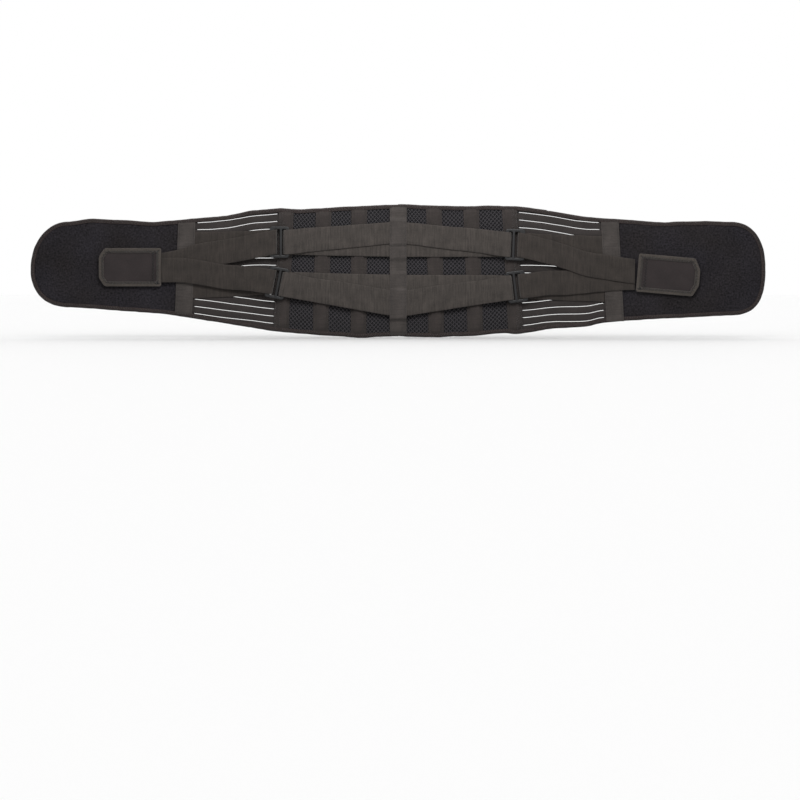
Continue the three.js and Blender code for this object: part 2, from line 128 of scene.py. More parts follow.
def edge_line(nodes, way):
    """The belt's top (way 1) or bottom (way -1) edge, from the outermost points of the CAD bindings."""
    points = np.array([v.co for node in nodes for v in frame["nodes"][node].data.vertices])
    x, z = points[:, 0], points[:, 2]
    near = np.abs(x[:, None] - x[None]) < 5 * MM
    outermost = np.where(near, way * z[None], -1).max(1)
    keep = (way * z > outermost - 1.5 * MM) & (x > -TIP_START["left"]) & (x < TIP_START["right"])
    order = np.argsort(x[keep])
    line, last = [], -1.0
    for px, pz in zip(x[keep][order], z[keep][order]):
        if px - last > 4 * MM:
            line.append((px, pz))
            last = px
    return curve(*zip(*line))


TIP_START = {"left": 505.5 * MM, "right": 508.5 * MM}
TIP_ROUNDNESS = {"left": 2.2, "right": 2.5}
TIP_DROOP = {"left": 6 * MM, "right": 3 * MM}
TIP_END = {
    "left": -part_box("left_flap_binding")[0].x,
    "right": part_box("right_flap_binding")[1].x,
}
BINDINGS = [f"back_{e}_binding" for e in ("top", "bottom")]
BINDINGS += [f"{s}_side_{e}_binding" for s in SIDES for e in ("top", "bottom")]
FLAP_BINDINGS = [f"{s}_flap_binding" for s in SIDES]
top_edge = edge_line([n for n in BINDINGS if "top" in n] + FLAP_BINDINGS, 1)
bottom_edge = edge_line([n for n in BINDINGS if "bottom" in n] + FLAP_BINDINGS, -1)


def heights(x, inset=0.0):
    """The bottom and top of the belt at x, moved in by inset, round the flap tips too."""
    x = np.asarray(x, float)
    low, high = bottom_edge(x) + inset, top_edge(x) - inset
    for name, side in SIDES.items():
        start = TIP_START[name]
        length = TIP_END[name] - start - inset
        t = np.clip((side * x - start) / length, 0, 1)
        shrink = (1 - t ** TIP_ROUNDNESS[name]) ** (1 / TIP_ROUNDNESS[name])
        middle = 0.5 * (top_edge(side * start) + bottom_edge(side * start)) - TIP_DROOP[name] * t**2
        half = 0.5 * (top_edge(side * start) - bottom_edge(side * start)) - inset
        beyond = side * x > start
        low = np.where(beyond, middle - half * shrink, low)
        high = np.where(beyond, middle + half * shrink, high)
    return low, high


def outline(name, start, step=2 * MM, inset=0.0):
    """A flap's edge as x and z: out along the top, round the tip and back along the bottom."""
    side = SIDES[name]
    along = np.arange(start, TIP_START[name], step)
    length = TIP_END[name] - TIP_START[name] - inset
    angle = np.linspace(0, math.pi / 2, 40)
    t = np.concatenate([along, TIP_START[name] + length * np.sin(angle) ** (2 / TIP_ROUNDNESS[name])])
    x = side * t
    low, high = heights(x, inset)
    xs = np.concatenate([x, x[:-1][::-1]])
    zs = np.concatenate([high, low[:-1][::-1]])
    return even(at(xs, 0, zs), step)


def lengths(points):
    """The distance along a line at each of its points."""
    return np.concatenate([[0], np.cumsum(np.linalg.norm(np.diff(points, axis=0), axis=1))])


def at(x, y, z):
    """Points from their coordinates, each a number or an array."""
    return np.stack(np.broadcast_arrays(x, y, z), -1).astype(float)


def even(points, step):
    """The same line with points spaced evenly."""
    s = lengths(points)
    keep = np.concatenate([[True], np.diff(s) > 1e-7])
    s, points = s[keep], points[keep]
    t = np.linspace(0, s[-1], max(2, int(round(s[-1] / step)) + 1))
    return np.stack([np.interp(t, s, points[:, k]) for k in range(3)], 1)


# ---- Meshes: closed surfaces gathered into one piece ----
def link(name, data):
    """A new object in the scene."""
    obj = bpy.data.objects.new(name, data)
    bpy.context.scene.collection.objects.link(obj)
    return obj


def cloth_uv(mesh, uvs):
    """The "cloth" UV of a mesh from the place of each vertex on the cloth, in metres."""
    layer = mesh.uv_layers.get("cloth") or mesh.uv_layers.new(name="cloth")
    corner = np.zeros(len(mesh.loops), np.int32)
    mesh.loops.foreach_get("vertex_index", corner)
    layer.data.foreach_set("uv", uvs[corner].astype(np.float32).ravel())


def shade_smooth(mesh, sharp):
    """Smooth shading, but for edges sharper than that angle in degrees."""
    mesh.polygons.foreach_set("use_smooth", np.ones(len(mesh.polygons), bool))
    mesh.set_sharp_from_angle(angle=math.radians(sharp))


class Piece:
    """Closed surfaces gathered into one mesh, each with a UV in metres of cloth and a material."""

    def __init__(self):
        self.points, self.faces, self.uvs, self.slots, self.count = [], [], [], [], 0

    def add(self, points, faces, uv, material=0):
        points = np.asarray(points, float).reshape(-1, 3)
        a, b, c, d = (points[[f[k] for f in faces]] for k in (0, 1, 2, -1))
        volume = (a * np.cross(b, c)).sum() + (a * np.cross(c, d)).sum()
        if volume < 0:
            faces = [tuple(f)[::-1] for f in faces]
        self.points.append(points)
        self.uvs.append(np.asarray(uv, float).reshape(-1, 2))
        self.faces += [tuple(int(i) + self.count for i in f) for f in faces]
        self.slots += [material] * len(faces)
        self.count += len(points)

    def build(self, name, *materials, sharp=50):
        """The mesh as an object, with the named materials in the order of their numbers in add."""
        mesh = bpy.data.meshes.new(name)
        mesh.from_pydata(np.concatenate(self.points).tolist(), [], self.faces)
        cloth_uv(mesh, np.concatenate(self.uvs))
        for material in materials:
            mesh.materials.append(MAT[material])
        mesh.polygons.foreach_set("material_index", np.array(self.slots, np.int32))
        shade_smooth(mesh, sharp)
        mesh.update()
        return link(name, mesh)


def grid_faces(rows, columns, wrap=False, first=0):
    """Quads between neighbouring rows of points, each row closed on itself if it wraps."""
    last = columns if wrap else columns - 1
    return [
        (first + i * columns + j, first + i * columns + (j + 1) % columns,
         first + (i + 1) * columns + (j + 1) % columns, first + (i + 1) * columns + j)
        for i in range(rows - 1)
        for j in range(last)
    ]


def slab(piece, outer, inner, material=0, uv=None):
    """A closed sheet between two grids of points of the same shape."""
    rows, columns = outer.shape[:2]
    count = rows * columns
    faces = grid_faces(rows, columns) + [f[::-1] for f in grid_faces(rows, columns, first=count)]
    rim = [i * columns for i in range(rows)]
    rim += [(rows - 1) * columns + j for j in range(1, columns)]
    rim += [i * columns + columns - 1 for i in range(rows - 2, -1, -1)]
    rim += [j for j in range(columns - 2, 0, -1)]
    for a, b in zip(rim, rim[1:] + rim[:1]):
        faces.append((a, a + count, b + count, b))
    flat = outer[..., [0, 2]] if uv is None else uv
    piece.add(np.concatenate([outer.reshape(-1, 3), inner.reshape(-1, 3)]), faces,
              np.concatenate([flat.reshape(-1, 2)] * 2), material)


def sweep(piece, centre, across, normal, section, material=0, u=None):
    """A closed section, in metres across and along the normal, carried along a line.

    Across and normal are one vector or one for each point; the section is (m, 2), or (n, m, 2) if it varies.
    """
    n = len(centre)
    across, normal = np.broadcast_to(across, (n, 3)), np.broadcast_to(normal, (n, 3))
    section = np.asarray(section, float)
    if section.ndim == 2:
        section = np.broadcast_to(section, (n,) + section.shape)
    m = section.shape[1]
    points = centre[:, None] + across[:, None] * section[..., :1] + normal[:, None] * section[..., 1:]
    faces = grid_faces(n, m, wrap=True)
    faces += [tuple(range(m))[::-1], tuple((n - 1) * m + j for j in range(m))]
    if u is None:
        u = lengths(centre)
    uv = np.stack([np.repeat(u[:, None], m, 1), section[..., 0] + 0.3 * section[..., 1]], -1)
    piece.add(points, faces, uv, material)


def tangents(points):
    t = np.gradient(points, axis=0)
    return t / np.maximum(np.linalg.norm(t, axis=1, keepdims=True), 1e-12)


def unit(v):
    return v / np.maximum(np.linalg.norm(v, axis=-1, keepdims=True), 1e-12)


def tape_section(width, thick, count=12, edge=9):
    """A flat tape's section with rounded selvedges."""
    angle = np.linspace(-math.pi / 2, math.pi / 2, count)
    c = np.sin(angle)
    h = np.sqrt(np.clip(1 - np.abs(c) ** edge, 0, 1))
    top = np.stack([c * width / 2, h * thick / 2], 1)
    low = np.stack([c[1:-1] * width / 2, -h[1:-1] * thick / 2], 1)[::-1]
    return np.concatenate([top, low])


def tape(piece, centre, across, width, thick, material=0, u=None, ripple=0.12 * MM, seed=0, count=12):
    """A woven tape along a line, with slightly uneven thickness and edges."""
    n = len(centre)
    across = np.broadcast_to(across, (n, 3))
    normal = unit(np.cross(tangents(centre), across))
    width = np.broadcast_to(np.asarray(width, float), (n,))
    base = tape_section(1.0, 1.0, count)
    section = np.repeat(base[None], n, 0)
    length = lengths(centre)
    wander = noise(length[:, None], base[None, :, 0] * 0.5, 9 * MM, seed) * ripple
    side = np.sign(base[None, :, 1])
    section = np.stack([
        base[None, :, 0] * width[:, None] + noise(length, 0, 14 * MM, seed + 3)[:, None] * ripple,
        base[None, :, 1] * thick + wander * (side > 0)], -1)
    sweep(piece, centre, across, normal, section, material, u)


THREAD = 0.26 * MM


def thread(piece, points, normal, material, radius=THREAD):
    """A sewing thread along a line on the cloth, four-sided."""
    t = tangents(points)
    across = unit(np.cross(t, normal))
    section = radius * np.array([(1, 0), (0, 1), (-1, 0), (0, -1)], float)
    sweep(piece, points, across, normal, section, material)


def zigzag(piece, line, inward, normal, width, pitch, material, radius=THREAD):
    """Zigzag stitching along a line."""
    points = even(line, pitch / 2)
    s = np.linspace(0, 1, len(points))
    source = np.linspace(0, 1, len(line))

    def pick(vectors):
        vectors = np.broadcast_to(vectors, line.shape)
        return unit(np.stack([np.interp(s, source, vectors[:, k]) for k in range(3)], 1))

    sway = np.where(np.arange(len(points)) % 2 == 0, 0.5, -0.5)[:, None] * width
    thread(piece, points + pick(inward) * sway, pick(normal), material, radius)


def stitches(piece, line, normal, material, pitch=3.4 * MM, gap=0.9 * MM, radius=THREAD):
    """A row of straight stitches, each a short length of thread that dips into the cloth at its ends."""
    points = even(line, pitch)
    for a, b in zip(points[:-1], points[1:]):
        d = unit(b - a)
        run = np.stack([a + d * gap / 2, a + (b - a) * 0.3, a + (b - a) * 0.7, b - d * gap / 2])
        lift = np.array([-0.8, 0.4, 0.4, -0.8])[:, None] * radius
        thread(piece, run + normal * lift, normal, material, radius)


OUT = np.array([0.0, -1.0, 0.0])
IN = np.array([0.0, 1.0, 0.0])
ALONG = np.array([1.0, 0.0, 0.0])


# ---- Materials: each cloth is drawn in metres of its own UV, so the weave follows its bends ----
class Shade:
    """A small builder of node materials on the "cloth" UV, whose unit is a metre."""

    def __init__(self, name, roughness=0.9, **sockets):
        self.material = bpy.data.materials.new(name)
        self.material.use_nodes = True
        self.nodes = self.material.node_tree.nodes
        self.links = self.material.node_tree.links
        self.shader = self.nodes["Principled BSDF"]
        self.shader.inputs["Roughness"].default_value = roughness
        for socket, value in sockets.items():
            self.shader.inputs[socket.replace("_", " ")].default_value = value
        self.uv = self.nodes.new("ShaderNodeUVMap")
        self.uv.uv_map = "cloth"
        split = self.nodes.new("ShaderNodeSeparateXYZ")
        self.links.new(self.uv.outputs[0], split.inputs[0])
        self.u, self.v = split.outputs[0], split.outputs[1]

    def math(self, operation, a, b=0.0, clamp=False):
        node = self.nodes.new("ShaderNodeMath")
        node.operation = operation
        node.use_clamp = clamp
        for socket, value in zip(node.inputs, (a, b)):
            if isinstance(value, (int, float)):
                socket.default_value = value
            else:
                self.links.new(value, socket)
        return node.outputs[0]

    def noise(self, size, detail=2.0, stretch=(1, 1), rough=0.5):
        mapping = self.nodes.new("ShaderNodeMapping")
        mapping.inputs["Scale"].default_value = (1 / stretch[0], 1 / stretch[1], 1)
        self.links.new(self.uv.outputs[0], mapping.inputs[0])
        node = self.nodes.new("ShaderNodeTexNoise")
        node.inputs["Scale"].default_value = 1 / size
        node.inputs["Detail"].default_value = detail
        node.inputs["Roughness"].default_value = rough
        self.links.new(mapping.outputs[0], node.inputs["Vector"])
        return node.outputs["Fac"]

    def ribs(self, coordinate, period):
        """A row of ribs from 0 to 1 across that coordinate."""
        wave = self.math("SINE", self.math("MULTIPLY", coordinate, 2 * math.pi / period))
        return self.math("ADD", self.math("MULTIPLY", wave, 0.5), 0.5)

    def diagonal(self, a, b):
        return self.math("ADD", self.math("MULTIPLY", self.u, a), self.math("MULTIPLY", self.v, b))

    def blend(self, *parts):
        """Weighted parts, each from 0 to 1, added up around one half."""
        total = 0.5 - 0.5 * sum(weight for _, weight in parts)
        for value, weight in parts:
            total = self.math("ADD", self.math("MULTIPLY", value, weight), total)
        return total

    def ramp(self, value, *stops):
        node = self.nodes.new("ShaderNodeValToRGB")
        elements = node.color_ramp.elements
        while len(elements) < len(stops):
            elements.new(0.5)
        for element, (place, colour) in zip(elements, stops):
            element.position = place
            element.color = (*colour, 1)
        self.links.new(value, node.inputs[0])
        return node.outputs[0]

    def tones(self, value, colour, contrast):
        """The colour, darkened where the value is low and lightened where it is high."""
        scaled = [tuple(min(1.0, c * level) for c in colour) for level in (1 - contrast, 1, 1 + contrast)]
        return self.ramp(value, *zip((0.0, 0.5, 1.0), scaled))

    def mix(self, factor, a, b):
        node = self.nodes.new("ShaderNodeMix")
        node.data_type = "RGBA"
        for socket, value in (("Factor", factor), ("A", a), ("B", b)):
            self.links.new(value, node.inputs[socket])
        return node.outputs["Result"]

    def colour(self, value):
        self.links.new(value, self.shader.inputs["Base Color"])

    def roughness(self, value, low, high):
        span = self.math("ADD", self.math("MULTIPLY", value, high - low), low)
        self.links.new(span, self.shader.inputs["Roughness"])

    def bump(self, height, depth, strength=1.0):
        node = self.nodes.new("ShaderNodeBump")
        node.inputs["Distance"].default_value = depth
        node.inputs["Strength"].default_value = strength
        self.links.new(height, node.inputs["Height"])
        self.links.new(node.outputs[0], self.shader.inputs["Normal"])


def woven(name, colour, rib, pick, contrast=0.75, sheen=0.12, depth=0.25 * MM, picks=0.8, specks=0.6):
    """A narrow woven tape: ribs along it, uneven picks across it, lint, and slow changes of tone."""
    s = Shade(name, 0.85, Sheen_Weight=sheen, Sheen_Roughness=0.5, Specular_IOR_Level=0.15)
    warp, weft = s.ribs(s.v, rib), s.ribs(s.u, pick)
    uneven = s.noise(1.9 * MM, 2, stretch=(1, 14))
    grain = s.noise(2.4 * MM, 4, rough=0.7)
    slow = s.noise(16 * MM, 2, stretch=(2, 1))
    tone = s.blend((warp, 0.12), (weft, 0.10), (uneven, picks), (grain, specks), (slow, 0.5))
    s.colour(s.tones(tone, colour, contrast))
    s.roughness(grain, 0.75, 0.95)
    s.bump(s.blend((warp, 0.5), (weft, 0.5), (uneven, 0.9), (grain, 0.7)), depth)
    return s.material


def knitted(name, colour, size, contrast=0.75, sheen=0.1, depth=0.2 * MM, specks=0.8):
    """A fine knit: two crossing diagonals with fuzz over them."""
    s = Shade(name, 0.9, Sheen_Weight=sheen, Sheen_Roughness=0.6, Specular_IOR_Level=0.12)
    knit = s.math("MULTIPLY", s.ribs(s.diagonal(1, 1), size), s.ribs(s.diagonal(1, -1), size))
    grain = s.noise(2.0 * MM, 4, rough=0.65)
    slow = s.noise(24 * MM, 3)
    tone = s.blend((knit, 0.2), (grain, specks), (slow, 0.5))
    s.colour(s.tones(tone, colour, contrast))
    s.roughness(grain, 0.8, 1.0)
    s.bump(s.blend((knit, 0.6), (grain, 0.8)), depth)
    return s.material


def piled(name, colour, warm, size=2.8 * MM, contrast=0.9, sheen=0.1, depth=0.5 * MM, specks=2.6):
    """Brushed loop pile: speckle of lit and shaded loops, with slow patches of a warmer tone."""
    s = Shade(name, 0.95, Sheen_Weight=sheen, Sheen_Roughness=0.45, Specular_IOR_Level=0.08)
    coarse = s.noise(size, 4, rough=0.75)
    column = s.noise(1.6 * MM, 1, stretch=(1, 5))
    patches = s.noise(45 * MM, 2)
    tone = s.blend((coarse, specks), (column, 0.4), (patches, 0.4))
    shift = s.math("MULTIPLY", s.math("SUBTRACT", s.noise(70 * MM, 1), 0.35), 3.0, clamp=True)
    s.colour(s.mix(shift, s.tones(tone, colour, contrast), s.tones(tone, warm, contrast)))
    s.bump(s.blend((coarse, 1.0), (column, 0.4)), depth)
    return s.material


def moulded(name, colour, roughness):
    """A moulded plastic: fine grain and long scuffs."""
    s = Shade(name, roughness, Specular_IOR_Level=0.3)
    scuff = s.noise(5 * MM, 4, stretch=(1, 4))
    s.colour(s.tones(s.blend((scuff, 1.0)), colour, 0.5))
    s.roughness(scuff, roughness - 0.1, roughness + 0.2)
    s.bump(s.noise(0.5 * MM, 2), 0.04 * MM, 0.5)
    return s.material


def hooked(name, colour):
    """Moulded hook tape: rows of tiny hooks on a base."""
    s = Shade(name, 0.85, Specular_IOR_Level=0.1)
    rows = s.math("MULTIPLY", s.ribs(s.u, 1.5 * MM), s.ribs(s.v, 1.2 * MM))
    grain = s.noise(2.0 * MM, 3)
    slow = s.noise(18 * MM, 2)
    s.colour(s.tones(s.blend((rows, 0.6), (grain, 0.6), (slow, 0.5)), colour, 0.9))
    s.bump(rows, 0.4 * MM)
    return s.material


MAT = {
    "webbing": woven("strap_webbing", (0.0276, 0.0234, 0.0208), 1.25 * MM, 0.9 * MM),
    "pull_webbing": woven("pull_strap_webbing", (0.0190, 0.0154, 0.0133), 1.25 * MM, 0.9 * MM),
    "strip": woven("pocket_tape", (0.0190, 0.0153, 0.0141), 1.9 * MM, 1.2 * MM, picks=0.4, specks=0.9),
    "seam": woven("seam_tape", (0.0291, 0.0249, 0.0230), 1.9 * MM, 1.2 * MM, picks=0.5),
    "border": woven("tab_border_tape", (0.0350, 0.0298, 0.0259), 1.4 * MM, 1.0 * MM, picks=0.5, specks=1.0),
    "elastic": woven("ribbed_elastic", (0.0174, 0.0144, 0.0136), 1.1 * MM, 1.5 * MM, picks=0.3),
    "binding": woven("edge_tape", (0.0193, 0.0137, 0.0127), 1.3 * MM, 1.6 * MM, picks=0.6, specks=1.0),
    "tab_face": knitted("tab_face_fabric", (0.0155, 0.0116, 0.0117), 1.6 * MM),
    "lattice": knitted("mesh_strand", (0.0254, 0.0225, 0.0257), 0.8 * MM),
    # The mesh backing is darker than the cloth itself: its near-black colour is painted shade for the holes of
    # the mesh.
    "backing": knitted("mesh_backing_painted_shade", (0.0040, 0.0038, 0.0048), 1.2 * MM),
    "liner": knitted("inner_lining", (0.0092, 0.0082, 0.0086), 1.4 * MM),
    "flap_liner": knitted("flap_lining", (0.0063, 0.0058, 0.0058), 1.4 * MM),
    "loop": piled("loop_pile", (0.0111, 0.0100, 0.0121), (0.0097, 0.0084, 0.0090)),
    "velour": piled("pad_velour", (0.0204, 0.0177, 0.0169), (0.0195, 0.0170, 0.0163),
                    1.3 * MM, 0.7, 0.4, 0.25 * MM, 0.8),
    "hook": hooked("hook_tape", (0.0034, 0.0031, 0.0033)),
    "ring": moulded("ring_plastic", (0.005, 0.005, 0.0055), 0.36),
    "label": woven("label_weave", (0.42, 0.40, 0.37), 0.7 * MM, 0.7 * MM, contrast=0.15),
    "dark_thread": woven("dark_thread", (0.0035, 0.0025, 0.0025), 0.4 * MM, 0.6 * MM),
    "light_thread": woven("light_thread", (0.040, 0.034, 0.031), 0.4 * MM, 0.6 * MM),
    # The piping's light colour is partly a painted highlight, for the light that its raised ridges catch.
    "piping": woven("piping_painted_highlight", (0.095, 0.088, 0.082), 0.8 * MM, 0.9 * MM, contrast=0.5, sheen=0.3),
}


def steel():
    s = Shade("spring_steel", 0.35, Metallic=1.0)
    streak = s.noise(0.6 * MM, 3, stretch=(1, 30))
    s.colour(s.ramp(streak, (0.3, (0.32, 0.32, 0.33)), (0.7, (0.6, 0.6, 0.6))))
    s.bump(streak, 0.02 * MM, 0.4)
    return s.material


MAT["steel"] = steel()


# ---- Hiding the CAD parts a piece stands for, and baking a piece's place into its mesh ----
def keep(piece, slot, *nodes):
    if nodes:
        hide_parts(*nodes)
    return piece


def bends_at_side(piece):
    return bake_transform(piece)


def bends_at_flap(piece):
    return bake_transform(piece)


# ---- Camera, light and floor ----
VIEW_WIDTH = 1.232  # what the picture's width takes in at the belt
VIEW_CENTRE = (0.0028, -0.1994)  # x and z at the middle of the picture
LENS = 100
SENSOR = 36


def camera():
    data = bpy.data.cameras.new("camera")
    data.lens, data.sensor_width = LENS, SENSOR
    distance = VIEW_WIDTH * LENS / SENSOR
    data.shift_y = VIEW_CENTRE[1] / VIEW_WIDTH
    data.clip_end = 100
    obj = link("camera", data)
    obj.location = (VIEW_CENTRE[0], -distance, 0)
    obj.rotation_euler = (math.pi / 2, 0, 0)
    bpy.context.scene.camera = obj


def area_light(name, place, target, size, power, unlit):
    """A soft light that leaves the stage alone, so that the floor stays evenly white."""
    data = bpy.data.lights.new(name, "AREA")
    data.shape = "RECTANGLE"
    data.size, data.size_y = size
    data.energy = power
    obj = link(name, data)
    obj.location = place
    obj.rotation_euler = (Vector(target) - Vector(place)).to_track_quat("-Z", "Y").to_euler()
    obj.visible_camera = False
    obj.light_linking.receiver_collection = unlit


def white_floor():
    half, steps = 6.0, 12
    corners = [(half * (i / steps - 0.5) * 2, half * (j / steps - 0.5) * 2, cad_box[0].z)
               for i in range(steps + 1) for j in range(steps + 1)]
    mesh = bpy.data.meshes.new("floor")
    mesh.from_pydata(corners, [], [f[::-1] for f in grid_faces(steps + 1, steps + 1)])
    floor = link("floor", mesh)
    material = bpy.data.materials.new("pale_floor")
    material.use_nodes = True
    shader = material.node_tree.nodes["Principled BSDF"]
    shader.inputs["Base Color"].default_value = (0.98, 0.98, 0.98, 1)
    shader.inputs["Roughness"].default_value = 0.9
    shader.inputs["Specular IOR Level"].default_value = 0.2
    mesh.materials.append(material)
    return floor


LIGHTS = {  # place, target, size and power in watts
    "key": ((0.04, -0.62, 0.56), (0.02, 0, 0.02), (0.6, 0.3), 10.5),
    "back": ((-0.1, 1.2, 0.75), (0, 0, 0), (0.9, 0.4), 24),
}


def studio():
    world = bpy.data.worlds.new("studio")
    world.use_nodes = True
    world.node_tree.nodes["Background"].inputs["Color"].default_value = (1, 1, 1, 1)
    world.node_tree.nodes["Background"].inputs["Strength"].default_value = 1.0
    bpy.context.scene.world = world
    bpy.context.scene.view_settings.view_transform = "Standard"
    unlit = bpy.data.collections.new("unlit_stage")
    unlit.objects.link(white_floor())
    unlit.collection_objects[0].light_linking.link_state = "EXCLUDE"
    for name, setting in LIGHTS.items():
        area_light(name, *setting, unlit)


# ---- Edge bindings ----
BINDING_PROFILE = [(6.0, -4.5), (6.3, -4.9), (5.9, -5.25), (4.6, -5.3), (3.1, -5.45), (1.7, -5.2), (0.6, -4.3),
                   (0.0, -2.05), (0.6, 0.2), (1.7, 1.05), (3.1, 1.3), (4.6, 1.2), (5.9, 1.1), (6.3, 0.8),
                   (6.0, 0.4), (1.3, 0.3), (1.3, -4.4)]
BINDING_MIDDLE = -2.05 * MM
STITCH_DEPTH = 3.2 * MM
STITCH_WIDTH = 3.6 * MM
STITCH_PITCH = 3.8 * MM
EDGE_THREAD = 0.42 * MM
STITCHED_FACES = ((OUT, -5.5 * MM), (IN, 1.36 * MM))  # each face of the binding, and y of its stitches


def binding(name, line, seed):
    """A tape folded round the edge, puckered by zigzag stitching on both faces."""
    piece = Piece()
    inward = unit(np.cross(tangents(line), OUT))
    if ((line.mean(0) - line) * inward).sum() < 0:
        inward = -inward
    length = lengths(line)
    profile = np.array(BINDING_PROFILE) * MM
    section = np.repeat(profile[None], len(line), 0)
    pucker = 0.16 * MM * np.cos(length * 2 * math.pi / STITCH_PITCH)
    away = profile[:, 1] - BINDING_MIDDLE
    swell = np.where(np.abs(away) > 2.6 * MM, np.sign(away), 0)
    thick = pucker + 0.15 * MM * noise(length, 0, 11 * MM, seed + 5)
    section[..., 1] += thick[:, None] * swell
    wander = 0.45 * MM * noise(length, 0, 30 * MM, seed) + 0.2 * MM * noise(length, 0, 7 * MM, seed)
    section[..., 0] += wander[:, None]
    sweep(piece, line, inward, IN, section)
    for normal, level in STITCHED_FACES:
        on_top = line + inward * (STITCH_DEPTH + wander[:, None]) + IN * level
        zigzag(piece, on_top, inward, normal, STITCH_WIDTH, STITCH_PITCH, 1, EDGE_THREAD)
    return piece.build(name, "binding", "dark_thread")


def straight_edge(x0, x1, which, step=2 * MM):
    x = np.linspace(x0, x1, int(abs(x1 - x0) / step) + 1)
    z = (top_edge if which == "top" else bottom_edge)(x)
    return at(x, 0, z)


def bindings():
    """The edge tapes: along the top and bottom up to the flaps, and one round each flap."""
    for name, side in SIDES.items():
        for k, which in enumerate(("top", "bottom")):
            line = straight_edge(0, side * BINDING_SPLIT, which)
            piece = binding(f"{name}_{which}_edge_tape", line, 11 + k + side)
            keep(piece, "binding", f"back_{which}_binding", f"{name}_side_{which}_binding")
            bends_at_side(piece)
        piece = binding(f"{name}_flap_edge_tape", outline(name, BINDING_SPLIT), 21 + side)
        bends_at_flap(keep(piece, "binding", f"{name}_flap_binding"))


# ---- Back panel and stiff side strips: lining, spacer mesh, stay pockets ----
EDGE_STRIP_X = 176 * MM
POCKETS = {  # x at mid height, the lean towards the bottom, and the width
    "outer_left": (-117 * MM, 0.025, 24 * MM),
    "left": (-60.5 * MM, 0.007, 24 * MM),
    "centre": (0.0, 0.0, 26 * MM),
    "right": (57 * MM, -0.02, 24 * MM),
    "outer_right": (115.5 * MM, -0.035, 24 * MM),
    "left_edge": (-EDGE_STRIP_X, 0.045, 23 * MM),
    "right_edge": (EDGE_STRIP_X, -0.048, 23 * MM),
}
PANEL_END = 186 * MM
CROWN = 7.0 * MM
SEWN_TO = 4.1 * MM  # how far out the mesh lies, to which the tapes are sewn


def strip_x(name, z):
    x, lean, _ = POCKETS[name]
    return x + lean * z


def panel_grid(xs, rows, inset):
    """Points of a flat panel: columns of points at each x, from its bottom edge to its top edge."""
    low, high = heights(xs, inset)
    share = np.linspace(0, 1, rows)
    x = np.repeat(xs[:, None], rows, 1)
    z = low[:, None] + (high - low)[:, None] * share
    return x, z


INNER_TAPE = 23.5 * MM
PIPING_AT = 3.3 * MM


def inner_edge_tape(piece, name, side):
    """The tape on the inner face at the elastic's edge, with two raised rows of satin piping, whose light
    colour is partly a painted highlight where the ridges catch the light.
    """
    low, high = heights(side * EDGE_STRIP_X, 4.5 * MM)
    zs = np.linspace(low, high, 70)
    centre = at(strip_x(f"{name}_edge", zs), 0.75 * MM, zs)
    tape(piece, centre, ALONG, INNER_TAPE, 1.0 * MM, 2, zs, seed=35)
    angle = np.linspace(0, 2 * math.pi, 9)[:-1]
    round_section = np.stack([1.7 * MM * np.cos(angle), 0.95 * MM * np.sin(angle)], 1)
    for way in (-1, 1):
        raised = (0.75 + 0.12 * noise(zs, way, 6 * MM, 36))[:, None] * MM
        sweep(piece, centre + ALONG * way * PIPING_AT + IN * raised, ALONG, IN, round_section, 3, zs)
        line = centre + ALONG * way * (INNER_TAPE / 2 - 2.5 * MM) + IN * 0.6 * MM
        zigzag(piece, line, ALONG, IN, 2.6 * MM, 3 * MM, 1)


def lining():
    """The smooth inner lining, sewn down along the pockets, so that it puffs a little between them."""
    for name, side in SIDES.items():
        xs = side * np.linspace(0, PANEL_END, 110)
        x, z = panel_grid(xs, 90, PANEL_INSET)
        groove = np.zeros_like(x)
        sewn = {pocket: width for pocket, (_, _, width) in POCKETS.items() if not pocket.endswith("edge")}
        for pocket, width in sewn.items():
            for edge in (-1, 1):
                gap = np.abs(x - strip_x(pocket, z) - edge * (width / 2 - 2 * MM))
                groove = np.maximum(groove, np.exp(-((gap / (1.5 * MM)) ** 2)))
        puff = 0.35 * MM * noise(x, z, 26 * MM, 31) + 0.15 * MM * noise(x, z, 9 * MM, 32)
        piece = Piece()
        slab(piece, at(x, LINER_OUT, z), at(x, 0.2 * MM + puff * 0.5 - 1.1 * MM * groove, z))
        for pocket, width in sewn.items():
            for edge in (-1, 1):
                low, high = heights(POCKETS[pocket][0], 6.5 * MM)
                zs = np.linspace(low, high, 60)
                line_x = strip_x(pocket, zs) + edge * (width / 2 - 2 * MM)
                if side * line_x[0] < 0:
                    continue
                stitches(piece, at(line_x, -0.6 * MM, zs), IN, 1)
        inner_edge_tape(piece, name, side)
        obj = piece.build(f"{name}_back_lining", "liner", "dark_thread", "seam", "piping")
        keep(obj, "liner", "back_liner", f"{name}_edge_liner")
        low, high = heights(0.0, PANEL_INSET)
        bends_at_side(obj)


MESH_PITCH = 6.0 * MM
MESH_RISE = 6.4 * MM
STRAND = 1.25 * MM
WINDOW_GAP = 1.5 * MM  # between the lattice and the tapes beside it, where the near-black backing shows as a painted contact shadow
